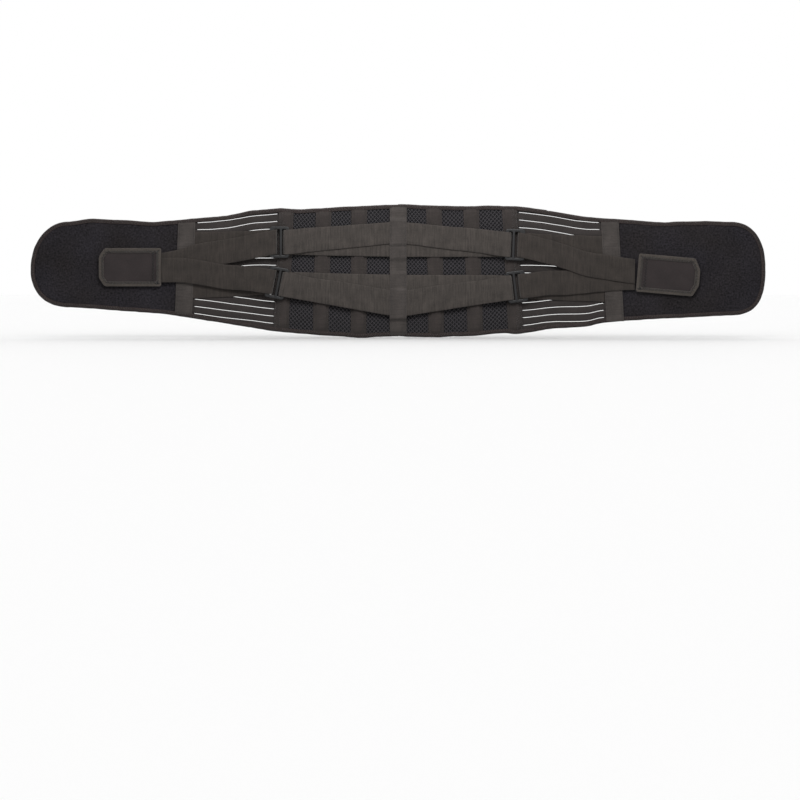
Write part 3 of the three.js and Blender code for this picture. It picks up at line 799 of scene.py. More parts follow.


def spacer_mesh():
    """Open diamond mesh: zigzag strands that meet their neighbours, over a dark backing whose near-black colour
    is partly painted shade for the holes and the gaps beside the tapes.
    """
    column = MESH_PITCH / 2
    section = STRAND * np.array([(0.5, -0.3), (0.3, 0.45), (-0.3, 0.45), (-0.5, -0.3)])
    for name, side in SIDES.items():
        piece = Piece()
        xs = side * np.linspace(0, PANEL_END, 75)
        x, z = panel_grid(xs, 60, PANEL_INSET)
        dips = 0.12 * MM * noise(x, z, 12 * MM, 41)
        slab(piece, at(x, -2.9 * MM + dips, z), at(x, MESH_IN, z))
        tapes = ("centre", name, f"outer_{name}", f"{name}_edge")
        for first, second in zip(tapes, tapes[1:]):
            reach = (POCKETS[first][2] + POCKETS[second][2]) / 2 + 2 * WINDOW_GAP
            strands = round((abs(strip_x(second, 0) - strip_x(first, 0)) - reach) / column)
            for k in range(strands + 1):
                near, far = strip_x(first, 0), strip_x(second, 0)
                low, high = heights(near + (far - near) * k / strands, 3 * MM)
                count = int((high - low) / (MESH_RISE / 2))
                zs = float(low) + MESH_RISE / 2 * np.arange(count + 1)
                near = strip_x(first, zs) + side * (POCKETS[first][2] / 2 + WINDOW_GAP)
                far = strip_x(second, zs) - side * (POCKETS[second][2] / 2 + WINDOW_GAP)
                swing = np.where((np.arange(count + 1) + k) % 2 == 0, 0.46, -0.46) * column
                line = at(near + (far - near) * k / strands + swing, -3.5 * MM, zs)
                middle = 0.5 * (line[1:] + line[:-1])
                middle[:, 1] -= 0.15 * MM
                both = np.empty((2 * count + 1, 3))
                both[0::2], both[1::2] = line, middle
                x, _, z = both.T
                both += 0.25 * MM * at(noise(x, z, 5 * MM, 42), 0, noise(x, z, 5 * MM, 43))
                sweep(piece, both, ALONG, OUT, section, 1)
        obj = piece.build(f"{name}_back_spacer", "backing", "lattice", sharp=70)
        keep(obj, "spacer_mesh", "back_spacer_mesh", f"{name}_edge_spacer_mesh")
        bends_at_side(obj)


def pocket_section(width):
    """A pocket tape's closed section: lips sewn down, and a crown over the stay."""
    half = width / 2
    lip = 4 * MM
    outer = [(0, CROWN + 0.1 * MM), (half - lip - 2.5 * MM, CROWN + 0.05 * MM),
             (half - lip - 1.2 * MM, CROWN - 0.2 * MM), (half - lip + 0.1 * MM, 5.45 * MM),
             (half - lip + 1 * MM, 5.25 * MM), (half - 1 * MM, 5.5 * MM),
             (half - 0.2 * MM, 5.3 * MM), (half, 4.9 * MM), (half - 0.2 * MM, 4.5 * MM)]
    inner = [(half - lip - 1 * MM, 4.45 * MM), (half - lip - 2 * MM, CROWN - 1 * MM), (0, CROWN - 1 * MM)]
    right = outer + inner
    left = [(-x, y) for x, y in right[1:-1]][::-1]
    return np.array(right + left)


TUCK = 3 * MM  # how far a tape's end runs under the edge binding
LIP_SEAM, CROWN_SEAM = 2.3 * MM, 7.6 * MM  # from a pocket tape's edge to its rows of stitches


def tucked(zs, low, high):
    """How far a tape keeps its height: 1 along it, less where its ends slip under the edge binding."""
    return 0.22 + 0.78 * smooth(np.minimum(zs - low, high - zs) / (7 * MM))


def pockets():
    """The tapes over the stays, sewn down along both edges, the edge strips with zigzag beside the elastic."""
    for name, (x, lean, width) in POCKETS.items():
        if name == "centre":
            continue
        low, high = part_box(f"{name}_stay_pocket")
        low, high = low.z - TUCK, high.z + TUCK
        zs = np.linspace(low, high, 84)
        line = at(x + lean * zs, 0, zs)
        section = np.repeat(pocket_section(width)[None], len(zs), 0)
        section[..., 0] += 0.3 * MM * noise(zs, 0, 30 * MM, int(x * 1e4))[:, None]
        raised = (section[..., 1] > 6 * MM) * 0.2 * MM
        section[..., 1] += raised * noise(zs[:, None], section[..., 0], 8 * MM, 3)
        keeps = tucked(zs, low, high)
        section[..., 1] = SEWN_TO + (section[..., 1] - SEWN_TO) * keeps[:, None]
        piece = Piece()
        sweep(piece, line, ALONG, OUT, section, 0, zs)
        edge_strip = name.endswith("edge")
        lips = OUT * (SEWN_TO + 1.32 * MM * keeps)[:, None]
        crowns = OUT * (SEWN_TO + 2.9 * MM * keeps)[:, None]
        for way in (-1, 1):
            side = line + ALONG * way * (width / 2 - LIP_SEAM) + lips
            if edge_strip and way * x > 0:
                zigzag(piece, side, ALONG, OUT, 3.2 * MM, 3 * MM, 1)
                wide = line + ALONG * way * (width / 2 - CROWN_SEAM) + crowns
                zigzag(piece, wide, ALONG, OUT, 3.6 * MM, 3.4 * MM, 1)
            else:
                stitches(piece, side, OUT, 1)
        obj = piece.build(f"{name}_pocket_tape", "strip", "dark_thread")
        keep(obj, "webbing", f"{name}_stay_pocket")
        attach(obj, f"{name.replace('_edge', '')}_side_panel" if edge_strip else "back_panel")


CENTRE_LOW = 6.8 * MM  # how far out the middle tape lies where no strap ends under it
CENTRE_ON_RETURN, CENTRE_ON_TOP = 9.5 * MM, 11.3 * MM  # and over the lower and the top layer of a strap
CENTRE_STAY_Y = -4.9 * MM


def centre_tape():
    """The middle tape, sewn down over the ends of the inner straps, and the stay that lies beneath them."""
    low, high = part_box("centre_stay_pocket")
    low, high = low.z - TUCK, high.z + TUCK
    zs = np.linspace(low, high, 150)
    level = np.full_like(zs, CENTRE_LOW)
    for top_z, top_width, return_z in (CENTRE_UPPER, CENTRE_LOWER):
        layers = ((top_z, top_width, CENTRE_ON_TOP), (return_z, STRAP_WIDTH, CENTRE_ON_RETURN))
        for middle, wide, lifted in layers:
            over = smooth((wide / 2 + 8 * MM - np.abs(zs - middle)) / (7 * MM))
            level = np.maximum(level, CENTRE_LOW + (lifted - CENTRE_LOW) * over)
    level = SEWN_TO + (level - SEWN_TO) * tucked(zs, low, high)
    half = POCKETS["centre"][2] / 2
    thick = 1.1 * MM
    crown = [(0, 1.35 * MM), (5 * MM, 1.25 * MM), (7.2 * MM, 0.55 * MM), (9 * MM, 0.1 * MM)]
    shape = crown + [(half - 0.5 * MM, 0)]
    top = [(px, py + thick / 2) for px, py in shape] + [(half, 0)]
    under = [(px, py - thick / 2) for px, py in shape][::-1]
    right = top + under
    ring = np.array(right + [(-px, py) for px, py in right[1:-1]][::-1])
    section = np.repeat(ring[None], len(zs), 0)
    section[..., 1] += level[:, None]
    section[..., 0] += 0.25 * MM * noise(zs, 0, 30 * MM, 44)[:, None]
    line = at(0, 0, zs)
    piece = Piece()
    sweep(piece, line, ALONG, OUT, section, 0, zs)
    for way in (-1, 1):
        side = line + ALONG * way * (half - LIP_SEAM) + OUT * (level + thick / 2)[:, None]
        stitches(piece, side, OUT, 1)
    obj = piece.build("centre_pocket_tape", "seam", "dark_thread")
    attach(keep(obj, "webbing", "centre_stay_pocket"), "back_panel")

    low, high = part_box("centre_stay")
    line = at(0, CENTRE_STAY_Y, np.linspace(low.z, high.z, 60))
    piece = Piece()
    tape(piece, line, ALONG, high.x - low.x, 0.8 * MM, ripple=0)
    obj = piece.build("centre_flat_stay", "steel")
    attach(keep(obj, "spring_steel", "centre_stay"), "back_panel")


# ---- Slotted elastic side panels ----
SLOTS = 16
SLOT_WIDTH = 0.9 * MM
SLOTS_KEPT = 5  # slots at the top and at the bottom that keep their pitch at the flap; the rest are gathered
AT_STRIP = (9.4 * MM, 12.5 * MM)  # first slot from the top edge, last slot from the bottom edge
AT_FLAP = (7.5 * MM, 8.5 * MM)
FLAP_SLOT_PITCH = 11 * MM
SLOTS_END = 306 * MM  # about where the slots end, from the middle
SLOT_TO_STRIP, SLOT_TO_SEAM = 0.8 * MM, 3.0 * MM  # from a slot's ends to the tapes beside it
SLOT_BEND = (0.1, 0.72)  # the share of a slot before it changes height, and over which it does
RING_CLEAR = 2 * MM
ELASTIC_THICK = 2.0 * MM
SEAM_TAPE = {"left": (26.6 * MM, 5.4 * MM), "right": (27.2 * MM, 8.8 * MM)}  # width, and lean over the height
SEAM_EDGE = FLAP_FOLD + 0.5 * MM


def seam_edge(name, z):
    """Distance from the middle at which the seam tape starts, which leans out towards the bottom."""
    low, high = heights(SIDES[name] * SEAM_EDGE)
    return SEAM_EDGE + SEAM_TAPE[name][1] * (high - z) / (high - low)


def strip_edge(name, z):
    """Distance from the middle at which the pocket tape beside the elastic ends."""
    return np.abs(strip_x(f"{name}_edge", z)) + POCKETS[f"{name}_edge"][2] / 2


def slot_line(name, i, t):
    """Where slot i runs: distance from the middle and height, for t from 0 at the strip to 1 at the seam."""
    side, last = SIDES[name], SLOTS - 1
    low, high = heights(side * EDGE_STRIP_X)
    tall = high - low
    first_share = (AT_STRIP[0] + (tall - sum(AT_STRIP)) * i / last) / tall
    z = high - tall * first_share
    start = strip_edge(name, z) + SLOT_TO_STRIP
    for ring in (f"{name}_upper", f"{name}_lower"):
        place = ring_place(ring)
        if abs(z - place.z) < RING_HEIGHT / 2 + RING_CLEAR:  # no slot opens behind the gap in a ring
            start = side * place.x + PULL_REACH + RING_CLEAR
    low, high = heights(side * SLOTS_END)
    tall = high - low
    above, below = AT_FLAP[0] + FLAP_SLOT_PITCH * SLOTS_KEPT, tall - AT_FLAP[1] - FLAP_SLOT_PITCH * SLOTS_KEPT
    down = above + (below - above) * (i - SLOTS_KEPT) / (last - 2 * SLOTS_KEPT)
    if i < SLOTS_KEPT:
        down = AT_FLAP[0] + FLAP_SLOT_PITCH * i
    if i > last - SLOTS_KEPT:
        down = tall - AT_FLAP[1] - FLAP_SLOT_PITCH * (last - i)
    end = seam_edge(name, high - down) - SLOT_TO_SEAM
    x = start + (end - start) * t
    share = first_share + (down / tall - first_share) * smooth((t - SLOT_BEND[0]) / SLOT_BEND[1])
    low, high = heights(side * x)
    return x, high - share * (high - low)


def elastic():
    """The ribs of each elastic panel, which part at the slots and meet beyond their ends."""
    for name, side in SIDES.items():
        t = np.linspace(-0.11, 1.1, 90)
        edges = []
        for i in range(SLOTS):
            x, z = slot_line(name, i, t)
            x = side * x
            sway = 0.3 * MM * noise(x, i * 5, 17 * MM, 52)
            half = SLOT_WIDTH / 2 * smooth(np.minimum(t, 1 - t) / 0.012 + 0.5) - 0.05 * MM
            edges.append((x, z + sway + half, z + sway - half))
        low, high = heights(edges[0][0], PANEL_INSET)[1], heights(edges[-1][0], PANEL_INSET)[0]
        above = [(edges[0][0], low)] + [(x, below) for x, _, below in edges]
        below = [(x, top) for x, top, _ in edges] + [(edges[-1][0], high)]
        piece = Piece()
        base = tape_section(1.0, 1.0, 9, edge=3.0)
        for rib, ((x0, z0), (x1, z1)) in enumerate(zip(above, below)):
            upper, lower = at(x0, 0, z0), at(x1, 0, z1)
            middle, half_way = (upper + lower) / 2, (upper - lower) / 2
            y = ELASTIC_Y + 0.3 * MM * noise(middle[:, 0], rib * 7, 24 * MM, 51)
            points = middle[:, None] + half_way[:, None] * 2 * base[None, :, :1]
            points[..., 1] = y[:, None] + base[None, :, 1] * ELASTIC_THICK
            n, m = points.shape[:2]
            faces = grid_faces(n, m, wrap=True)
            faces += [tuple(range(m))[::-1], tuple((n - 1) * m + j for j in range(m))]
            piece.add(points, faces, points[..., [0, 2]])
        obj = piece.build(f"{name}_slotted_elastic", "elastic")
        keep(obj, "elastic", f"{name}_elastic_panel")
        bends_at_flap(obj)


# ---- Flaps ----
UNDER_SEAM = 9 * MM  # how far the flap's cloths run under the seam tape
LEAN_FADES = 60 * MM  # the distance over which their columns straighten up
PILE_SEAM = {"left": 484 * MM, "right": 478 * MM}  # where a seam crosses the loop pile


def flap_columns(name, start, inset, step):
    """x of a flap panel's columns: even along it, closer round the tip."""
    side = SIDES[name]
    along = np.arange(start, TIP_START[name], step)
    length = TIP_END[name] - TIP_START[name] - inset
    angle = np.linspace(0, math.pi / 2 * 0.985, 34)
    return side * np.concatenate([along, TIP_START[name] + length * np.sin(angle)])


def flap_panel(name, label, inner_y, outer_y, relief, on_outer, material, slot, node, inset=PANEL_INSET,
               step=1.6 * MM, rows=92):
    """One cloth of a flap, with its relief on the outer or the inner face."""
    start = SEAM_EDGE + UNDER_SEAM
    xs = flap_columns(name, start, inset, step)
    x, z = panel_grid(xs, rows, inset)
    lean = seam_edge(name, z) - SEAM_EDGE
    x = x + SIDES[name] * lean * smooth(1 - (np.abs(x) - start) / LEAN_FADES)
    bumps = relief(x, z)
    outer = at(x, outer_y - (bumps if on_outer else 0), z)
    inner = at(x, inner_y + (0 if on_outer else bumps), z)
    piece = Piece()
    slab(piece, outer, inner)
    return keep(piece.build(f"{name}_{label}", material), slot, node)


def flaps():
    """Loop pile outside, lining inside, and the tapes over the seams of both flaps."""
    for name, side in SIDES.items():
        def pile(x, z):
            line = np.abs(side * x - PILE_SEAM[name] + 0.07 * z) / (1.3 * MM)
            seam = np.exp(-line**2) * 0.9 * MM
            return (0.16 * MM * noise(x, z, 3.2 * MM, 61) + 0.1 * MM * noise(x, z, 1.7 * MM, 62)
                    + 0.25 * MM * noise(x, z, 40 * MM, 63) - seam)

        obj = flap_panel(name, "loop_pile", MESH_IN, MESH_OUT + 0.15 * MM, pile, True, "loop", "loop_fabric",
                         f"{name}_flap_loop_panel")
        bends_at_flap(obj)

        def plain(x, z):
            return 0.2 * MM * noise(x, z, 22 * MM, 64) + 0.08 * MM * noise(x, z, 5 * MM, 65)

        obj = flap_panel(name, "flap_lining", LINER_IN, LINER_OUT, plain, False, "flap_liner", "liner",
                         f"{name}_flap_liner", step=3 * MM, rows=50)
        bends_at_flap(obj)
        seam_tapes(name, side)


# Each seam tape: its face, y, thickness, how far its ends fall, and where it looks
SEAM_FACES = (("outer", -5.55 * MM, 1.1 * MM, 1.5 * MM, OUT), ("inner", 0.85 * MM, 0.9 * MM, -0.7 * MM, IN))


def seam_tapes(name, side):
    """The tapes over the seam between elastic and flap, leaning out towards the bottom."""
    width = SEAM_TAPE[name][0]
    low, high = heights(side * (SEAM_EDGE + width / 2), 3.2 * MM)
    on_top = side > 0  # the right tape's lower end is sewn over the binding; the others slip under it
    zs = np.linspace(low - (1.5 * MM if on_top else 0), high, 80)
    middle = side * (seam_edge(name, zs) + width / 2)
    for face, level, thick, drop, normal in SEAM_FACES:
        fall = 1 - tucked(zs, low - 20 * MM if on_top else low, high)
        height = level + drop * fall
        if on_top and face == "outer":
            height = height - 0.9 * MM * smooth((low + 8 * MM - zs) / (5 * MM))
        centre = at(middle, height, zs)
        piece = Piece()
        tape(piece, centre, ALONG, width, thick, 0, zs, seed=71 + side)
        for way in (-1, 1):
            line = centre + ALONG * way * (width / 2 - 2.4 * MM) + normal * thick * 0.52
            stitches(piece, line[2:-2], normal, 1)
        obj = piece.build(f"{name}_{face}_seam_tape", "seam", "dark_thread")
        keep(obj, "webbing", f"{name}_{face}_seam_strip")
        bends_at_flap(obj)


HOOK_PANEL_START = 476 * MM
HOOK_PANEL_FACE = 1.75 * MM
LABEL_WIDTH, LABEL_HEIGHT, LABEL_TILT = 11.5 * MM, 15 * MM, 12


def hook_end():
    """The hook panel that closes the belt, and the blank label beside it."""
    xs = flap_columns("right", HOOK_PANEL_START, STRIP_INSET, 2.5 * MM)
    x, z = panel_grid(xs, 60, STRIP_INSET)
    puff = 0.1 * MM * noise(x, z, 18 * MM, 81)
    piece = Piece()
    slab(piece, at(x, 0.35 * MM, z), at(x, 1.7 * MM + puff, z))
    edge = outline("right", HOOK_PANEL_START + 2.5 * MM, 2.5 * MM, STRIP_INSET + 2.2 * MM)
    stitches(piece, edge + IN * HOOK_PANEL_FACE, IN, 1)
    start = at(HOOK_PANEL_START + 2 * MM, HOOK_PANEL_FACE, np.linspace(-58 * MM, 66 * MM, 40))
    stitches(piece, start, IN, 1)
    obj = piece.build("hook_closing_panel", "hook", "dark_thread")
    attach(keep(obj, "hook_tape", "hook_panel"), "right_flap")

    low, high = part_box("size_label")
    centre = (low + high) / 2
    tilt = math.radians(LABEL_TILT)
    across = np.array([math.cos(tilt), 0, -math.sin(tilt)])
    up = np.array([math.sin(tilt), 0, math.cos(tilt)])
    steps = np.linspace(-LABEL_HEIGHT / 2, LABEL_HEIGHT / 2, 16)
    lift = 0.5 * MM + 0.9 * MM * smooth(steps / LABEL_HEIGHT + 0.5) ** 2
    line = np.array(centre)[None] * np.array([1, 0, 1]) + up * steps[:, None] + IN * lift[:, None]
    piece = Piece()
    tape(piece, line, across, LABEL_WIDTH, 0.35 * MM, ripple=0.03 * MM)
    stitches(piece, line[1:2] + across * np.linspace(-5 * MM, 5 * MM, 6)[:, None] + IN * 0.2 * MM, IN, 1)
    obj = piece.build("blank_label", "label", "light_thread")
    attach(keep(obj, "label", "size_label"), "right_flap")


# ---- Rings, and the doubled straps that fold round their bars ----
STRAP_THICK = 1.5 * MM
STRAP_WIDTH = 38 * MM
FOLD = 2.8 * MM
RING_TOP = -13.7 * MM
RETURN_Y = -8.1 * MM
SEAM_RETURN_Y = -5.2 * MM
INNER_TOP_Y = -10.2 * MM
UNDER_Y, OVER_Y = -7.4 * MM, -9.6 * MM
CENTRE_END = 3.5 * MM  # where the inner straps of both sides end, under the middle tape
# There: the height and width of the top layer, and the height of the lower one
CENTRE_UPPER = (58.6 * MM, 33 * MM, 40 * MM)
CENTRE_LOWER = (-51.3 * MM, 39.5 * MM, -25.5 * MM)
RING_WIDTH, RING_HEIGHT = 30 * MM, 48.4 * MM
SLOT_HEIGHT = 40.4 * MM
RING_CORNER, SLOT_CORNER = 3.2 * MM, 1.6 * MM
INNER_SLOT = (-7.0 * MM, 5.2 * MM)  # place from the ring's middle, + towards the tab, and width
PULL_SLOT = (3.4 * MM, 7.6 * MM)
INNER_REACH = INNER_SLOT[1] / 2 - INNER_SLOT[0]  # from the ring's middle to the bars the straps fold round
PULL_REACH = PULL_SLOT[1] / 2 + PULL_SLOT[0]
STRAP_RIPPLE = 0.22 * MM
UNTWIST = 45 * MM  # the distance over which a strap loses its ring's tilt
TAB_EDGE = 363.6 * MM
PULL_SPLIT = FLAP_FOLD - FLAP_BEND - 3 * MM
TAB_SPLIT = FLAP_FOLD + FLAP_BEND + 3 * MM

# For each ring: its tilt, the inner strap in the middle of the back, whether the pull strap runs over its
# neighbour, the pull strap's line out to the tab as distance from the middle and height, and the height of its
# lower layer at the seam. The tilt is in degrees, the line and the last height in mm.
STRAPS = {
    "left_upper": (0.5, CENTRE_UPPER, False, [(220, 37.5), (266, 29), (311, 21.5), (336, 13.8), (364, 8)], 40),
    "left_lower": (11, CENTRE_LOWER, True, [(220, -13.6), (266, -9.5), (311, -2), (336, 0.8), (364, 0.7)], -24),
    "right_upper": (2, CENTRE_UPPER, True, [(226, 30), (254, 21.9), (288, 10.5), (320, 5), (364, -1.7)], 34),
    "right_lower": (-7, CENTRE_LOWER, False,
                    [(228, -19.5), (254, -19), (288, -16.2), (320, -13), (364, -10.7)], -29.5),
}


def ring_place(name):
    low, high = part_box(f"{name}_ring")
    return (low + high) / 2


def rings():
    """Flat moulded loops with rounded edges and a slot on each side of the middle bar."""
    for name, (tilt, *_) in STRAPS.items():
        place = ring_place(name)
        side = SIDES[name.split("_")[0]]
        data = bpy.data.curves.new(f"{name}_ring_outline", "CURVE")
        data.dimensions = "2D"
        data.fill_mode = "BOTH"
        data.extrude = 0.75 * MM
        data.bevel_depth = 0.85 * MM
        data.bevel_resolution = 3
        inset = data.bevel_depth

        def loop(width, height, x, radius):
            spline = data.splines.new("POLY")
            points = []
            for k, (sx, sy) in enumerate(((1, 1), (-1, 1), (-1, -1), (1, -1))):
                for step in range(7):
                    angle = math.pi / 2 * (k + step / 6)
                    points.append((x + sx * (width / 2 - radius) + radius * math.cos(angle),
                                   sy * (height / 2 - radius) + radius * math.sin(angle)))
            spline.points.add(len(points) - 1)
            for point, (px, py) in zip(spline.points, points):
                point.co = (px, py, 0, 1)
            spline.use_cyclic_u = True

        loop(RING_WIDTH - 2 * inset, RING_HEIGHT - 2 * inset, 0, RING_CORNER)
        for offset, width in (INNER_SLOT, PULL_SLOT):
            loop(width + 2 * inset, SLOT_HEIGHT + 2 * inset - 0.6 * MM, side * offset, SLOT_CORNER)
        source = link("ring_source", data)
        bpy.context.view_layer.update()
        mesh = bpy.data.meshes.new_from_object(source.evaluated_get(bpy.context.evaluated_depsgraph_get()))
        bpy.data.objects.remove(source)
        points = np.array([v.co for v in mesh.vertices])
        a = math.radians(tilt)
        x, z = points[:, 0], points[:, 1]
        placed = at(place.x + x * math.cos(a) + z * math.sin(a), place.y - points[:, 2],
                    place.z - x * math.sin(a) + z * math.cos(a))
        mesh.vertices.foreach_set("co", placed.astype(np.float32).ravel())
        mesh.name = f"{name}_strap_ring"
        cloth_uv(mesh, placed[:, [0, 2]])
        mesh.materials.clear()
        mesh.materials.append(MAT["ring"])
        shade_smooth(mesh, 40)
        obj = link(mesh.name, mesh)
        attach(keep(obj, "ring_plastic", f"{name}_ring"), f"{name}_ring")


class StrapPath:
    """A strap's two layers as functions of the distance from the middle of the back. Outward is +1 for a pull
    strap, which leads away from the middle, and -1 for an inner one."""

    def __init__(self, side, name, outward):
        place = ring_place(name)
        reach = PULL_REACH if outward > 0 else INNER_REACH
        self.side, self.lean, self.outward = side, math.radians(STRAPS[name][0]), outward
        self.bar = side * place.x + outward * reach * math.cos(self.lean)
        self.bar_z = place.z - side * outward * reach * math.sin(self.lean)

    def route(self, top_points, low_points):
        self.top = self.curves(top_points)
        self.low = self.curves(low_points)

    @staticmethod
    def curves(points):
        points = sorted(points)
        x, y, z, width = zip(*points)
        return curve(x, y), curve(x, z), curve(x, width)

    def stations(self, layer, distances):
        y, z, width = layer
        points = at(self.side * distances, y(distances), z(distances))
        return points, width(distances), self.across(distances)

    def across(self, distances):
        fade = np.clip(1 - np.abs(distances - self.bar) / UNTWIST, 0, 1)
        angle = self.lean * smooth(fade)
        return at(np.sin(angle), 0, np.cos(angle))

    def fold(self):
        angle = np.linspace(0, math.pi, 15)[1:-1]
        x = self.bar - self.outward * FOLD * np.sin(angle)
        y = 0.5 * (RING_TOP + RETURN_Y) - FOLD * np.cos(angle)
        points = at(self.side * x, y, self.bar_z)
        return points, np.full(len(x), STRAP_WIDTH), self.across(np.full(len(x), self.bar))


def join_stations(*parts):
    return [np.concatenate(column) for column in zip(*parts)]


def spread(a, b, step=2.2 * MM):
    return np.linspace(a, b, max(2, int(abs(b - a) / step) + 1))


def strap_tape(piece, side, stations, seed, offset=0.0):
    points, width, across = stations
    tape(piece, points, across, width, STRAP_THICK, 0, side * points[:, 0] + offset, STRAP_RIPPLE, seed, 16)


def inner_strap(name, side, seed):
    """The strap from under the middle tape round the ring's inner bar and back, in two pieces."""
    centre_z, centre_width, return_z = STRAPS[name][1]
    path = StrapPath(side, name, -1)
    bar, bar_z = path.bar, path.bar_z
    top = [(CENTRE_END, INNER_TOP_Y, centre_z, centre_width),
           (0.5 * (CENTRE_END + bar), INNER_TOP_Y - 0.1 * MM, 0.5 * (centre_z + bar_z),
            0.5 * (centre_width + STRAP_WIDTH)),
           (bar - 38 * MM, INNER_TOP_Y - 0.3 * MM, bar_z + (centre_z - bar_z) * 0.25, STRAP_WIDTH - 1 * MM),
           (bar - 12 * MM, RING_TOP + 0.7 * MM, bar_z + (centre_z - bar_z) * 0.07, STRAP_WIDTH),
           (bar, RING_TOP, bar_z, STRAP_WIDTH)]
    low = [(CENTRE_END, RETURN_Y, return_z, STRAP_WIDTH),
           (0.6 * bar, RETURN_Y, return_z + (bar_z - return_z) * 0.55, STRAP_WIDTH),
           (bar, RETURN_Y, bar_z, STRAP_WIDTH)]
    path.route(top, low)
    split = SIDE_FOLD + SIDE_BEND + 1 * MM
    piece = Piece()
    for layer, offset in ((path.top, 0.0), (path.low, 0.5)):
        strap_tape(piece, side, path.stations(layer, spread(CENTRE_END, split)), seed, offset)
    obj = piece.build(f"{name}_back_strap", "webbing")
    bends_at_side(keep(obj, "webbing", f"{name}_inner_strap"))

    piece = Piece()
    stations = join_stations(path.stations(path.top, spread(split, bar)), path.fold(),
                             path.stations(path.low, spread(bar, split)))
    strap_tape(piece, side, stations, seed)
    obj = piece.build(f"{name}_back_strap_fold", "webbing")
    keep(obj, "webbing", f"{name}_inner_strap")
    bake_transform(obj)


def pull_strap(name, side, seed):
    """The strap from the tab round the ring's outer bar and back to the flap seam, in three pieces."""
    _, _, over, route, seam_z = STRAPS[name]
    path = StrapPath(side, name, 1)
    bar, bar_z = path.bar, path.bar_z
    level = OVER_Y if over else UNDER_Y
    first, first_z = route[0][0] * MM, route[0][1] * MM
    past_z = bar_z + (first_z - bar_z) * 11 * MM / (first - bar)
    top = [(bar, RING_TOP, bar_z, STRAP_WIDTH), (bar + 11 * MM, RING_TOP + 0.5 * MM, past_z, STRAP_WIDTH)]
    for distance, z in route:
        settled = smooth((distance * MM - bar - 9 * MM) / (45 * MM))
        top.append((distance * MM, RING_TOP + (level - RING_TOP) * float(settled), z * MM, STRAP_WIDTH))
    end, end_z = FLAP_FOLD + 6 * MM, seam_z * MM
    low = [(bar, RETURN_Y, bar_z, STRAP_WIDTH),
           (bar + 10 * MM, RETURN_Y + 0.3 * MM, bar_z + (end_z - bar_z) * 0.08, STRAP_WIDTH),
           (bar + 40 * MM, SEAM_RETURN_Y, bar_z + (end_z - bar_z) * 0.4, STRAP_WIDTH),
           (end, SEAM_RETURN_Y + 0.6 * MM, end_z, STRAP_WIDTH)]
    path.route(top, low)

    piece = Piece()
    stations = join_stations(path.stations(path.top, spread(PULL_SPLIT, bar)), path.fold(),
                             path.stations(path.low, spread(bar, PULL_SPLIT)))
    strap_tape(piece, side, stations, seed)
    obj = piece.build(f"{name}_side_strap", "pull_webbing")
    keep(obj, "webbing", f"{name}_pull_strap")
    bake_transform(obj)

    piece = Piece()
    for layer, far in ((path.top, TAB_SPLIT), (path.low, end)):
        strap_tape(piece, side, path.stations(layer, spread(PULL_SPLIT, far)), seed)
    obj = piece.build(f"{name}_seam_strap", "pull_webbing")
    bends_at_flap(keep(obj, "webbing", f"{name}_pull_strap"))

    piece = Piece()
    strap_tape(piece, side, path.stations(path.top, spread(TAB_SPLIT, TAB_EDGE)), seed)
    obj = piece.build(f"{name}_tab_strap", "pull_webbing")
    keep(obj, "webbing", f"{name}_pull_strap")
    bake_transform(obj)


def straps():
    for k, name in enumerate(STRAPS):
        side = SIDES[name.split("_")[0]]
        inner_strap(name, side, 90 + k)
        pull_strap(name, side, 95 + k)


# ---- Pull tabs ----
TAB_LENGTH, TAB_HEIGHT = 96 * MM, 59 * MM
TABS = {"left": (0.0, 9 * MM, 13 * MM), "right": (5.0, 9 * MM, 17 * MM)}  # tilt, and the chamfer along and up
BORDER = 7.5 * MM
TAB_FACE, TAB_BACK = -8.3 * MM, -6.3 * MM  # y of the cover at its edge, outside and inside
BORDER_OUT, BORDER_STITCH_OUT, BAND_OUT = 8.75 * MM, 9.5 * MM, 9.05 * MM  # how far out they lie
BAND = 12.5 * MM  # from the straps' end of the tab to the row of stitches that holds them


def rounded(corners, radius, step=1.5 * MM):
    """A closed outline with rounded corners, evenly spaced, as x and z."""
    corners = np.asarray(corners, float)
    points = []
    for i, corner in enumerate(corners):
        before, after = corners[i - 1], corners[(i + 1) % len(corners)]
        a = corner + unit(before - corner) * radius
        b = corner + unit(after - corner) * radius
        for t in np.linspace(0, 1, 7):
            points.append((1 - t) ** 2 * a + 2 * t * (1 - t) * corner + t * t * b)
    points = np.array(points + [points[0]])
    return even(at(points[:, 0], 0, points[:, 1]), step)[:-1]


def polar(piece, line, centre, outer_at, inner_at, rings=14, material=0):
    """A closed disc-like solid inside an outline: y of both faces from the share of the way out."""
    share = np.linspace(0.02, 1, rings)
    points = centre + (line[None] - centre) * share[:, None, None]
    outer, inner = points.copy(), points.copy()
    outer[..., 1] = outer_at(share[:, None], points)
    inner[..., 1] = inner_at(share[:, None], points)
    n = len(line)
    count = rings * n
    faces = grid_faces(rings, n, wrap=True) + [f[::-1] for f in grid_faces(rings, n, wrap=True, first=count)]
    faces += [((rings - 1) * n + j, (rings - 1) * n + (j + 1) % n, count + (rings - 1) * n + (j + 1) % n,
               count + (rings - 1) * n + j) for j in range(n)]
    faces += [tuple(range(n))[::-1], tuple(count + j for j in range(n))]
    both = np.concatenate([outer.reshape(-1, 3), inner.reshape(-1, 3)])
    piece.add(both, faces, both[:, [0, 2]], material)


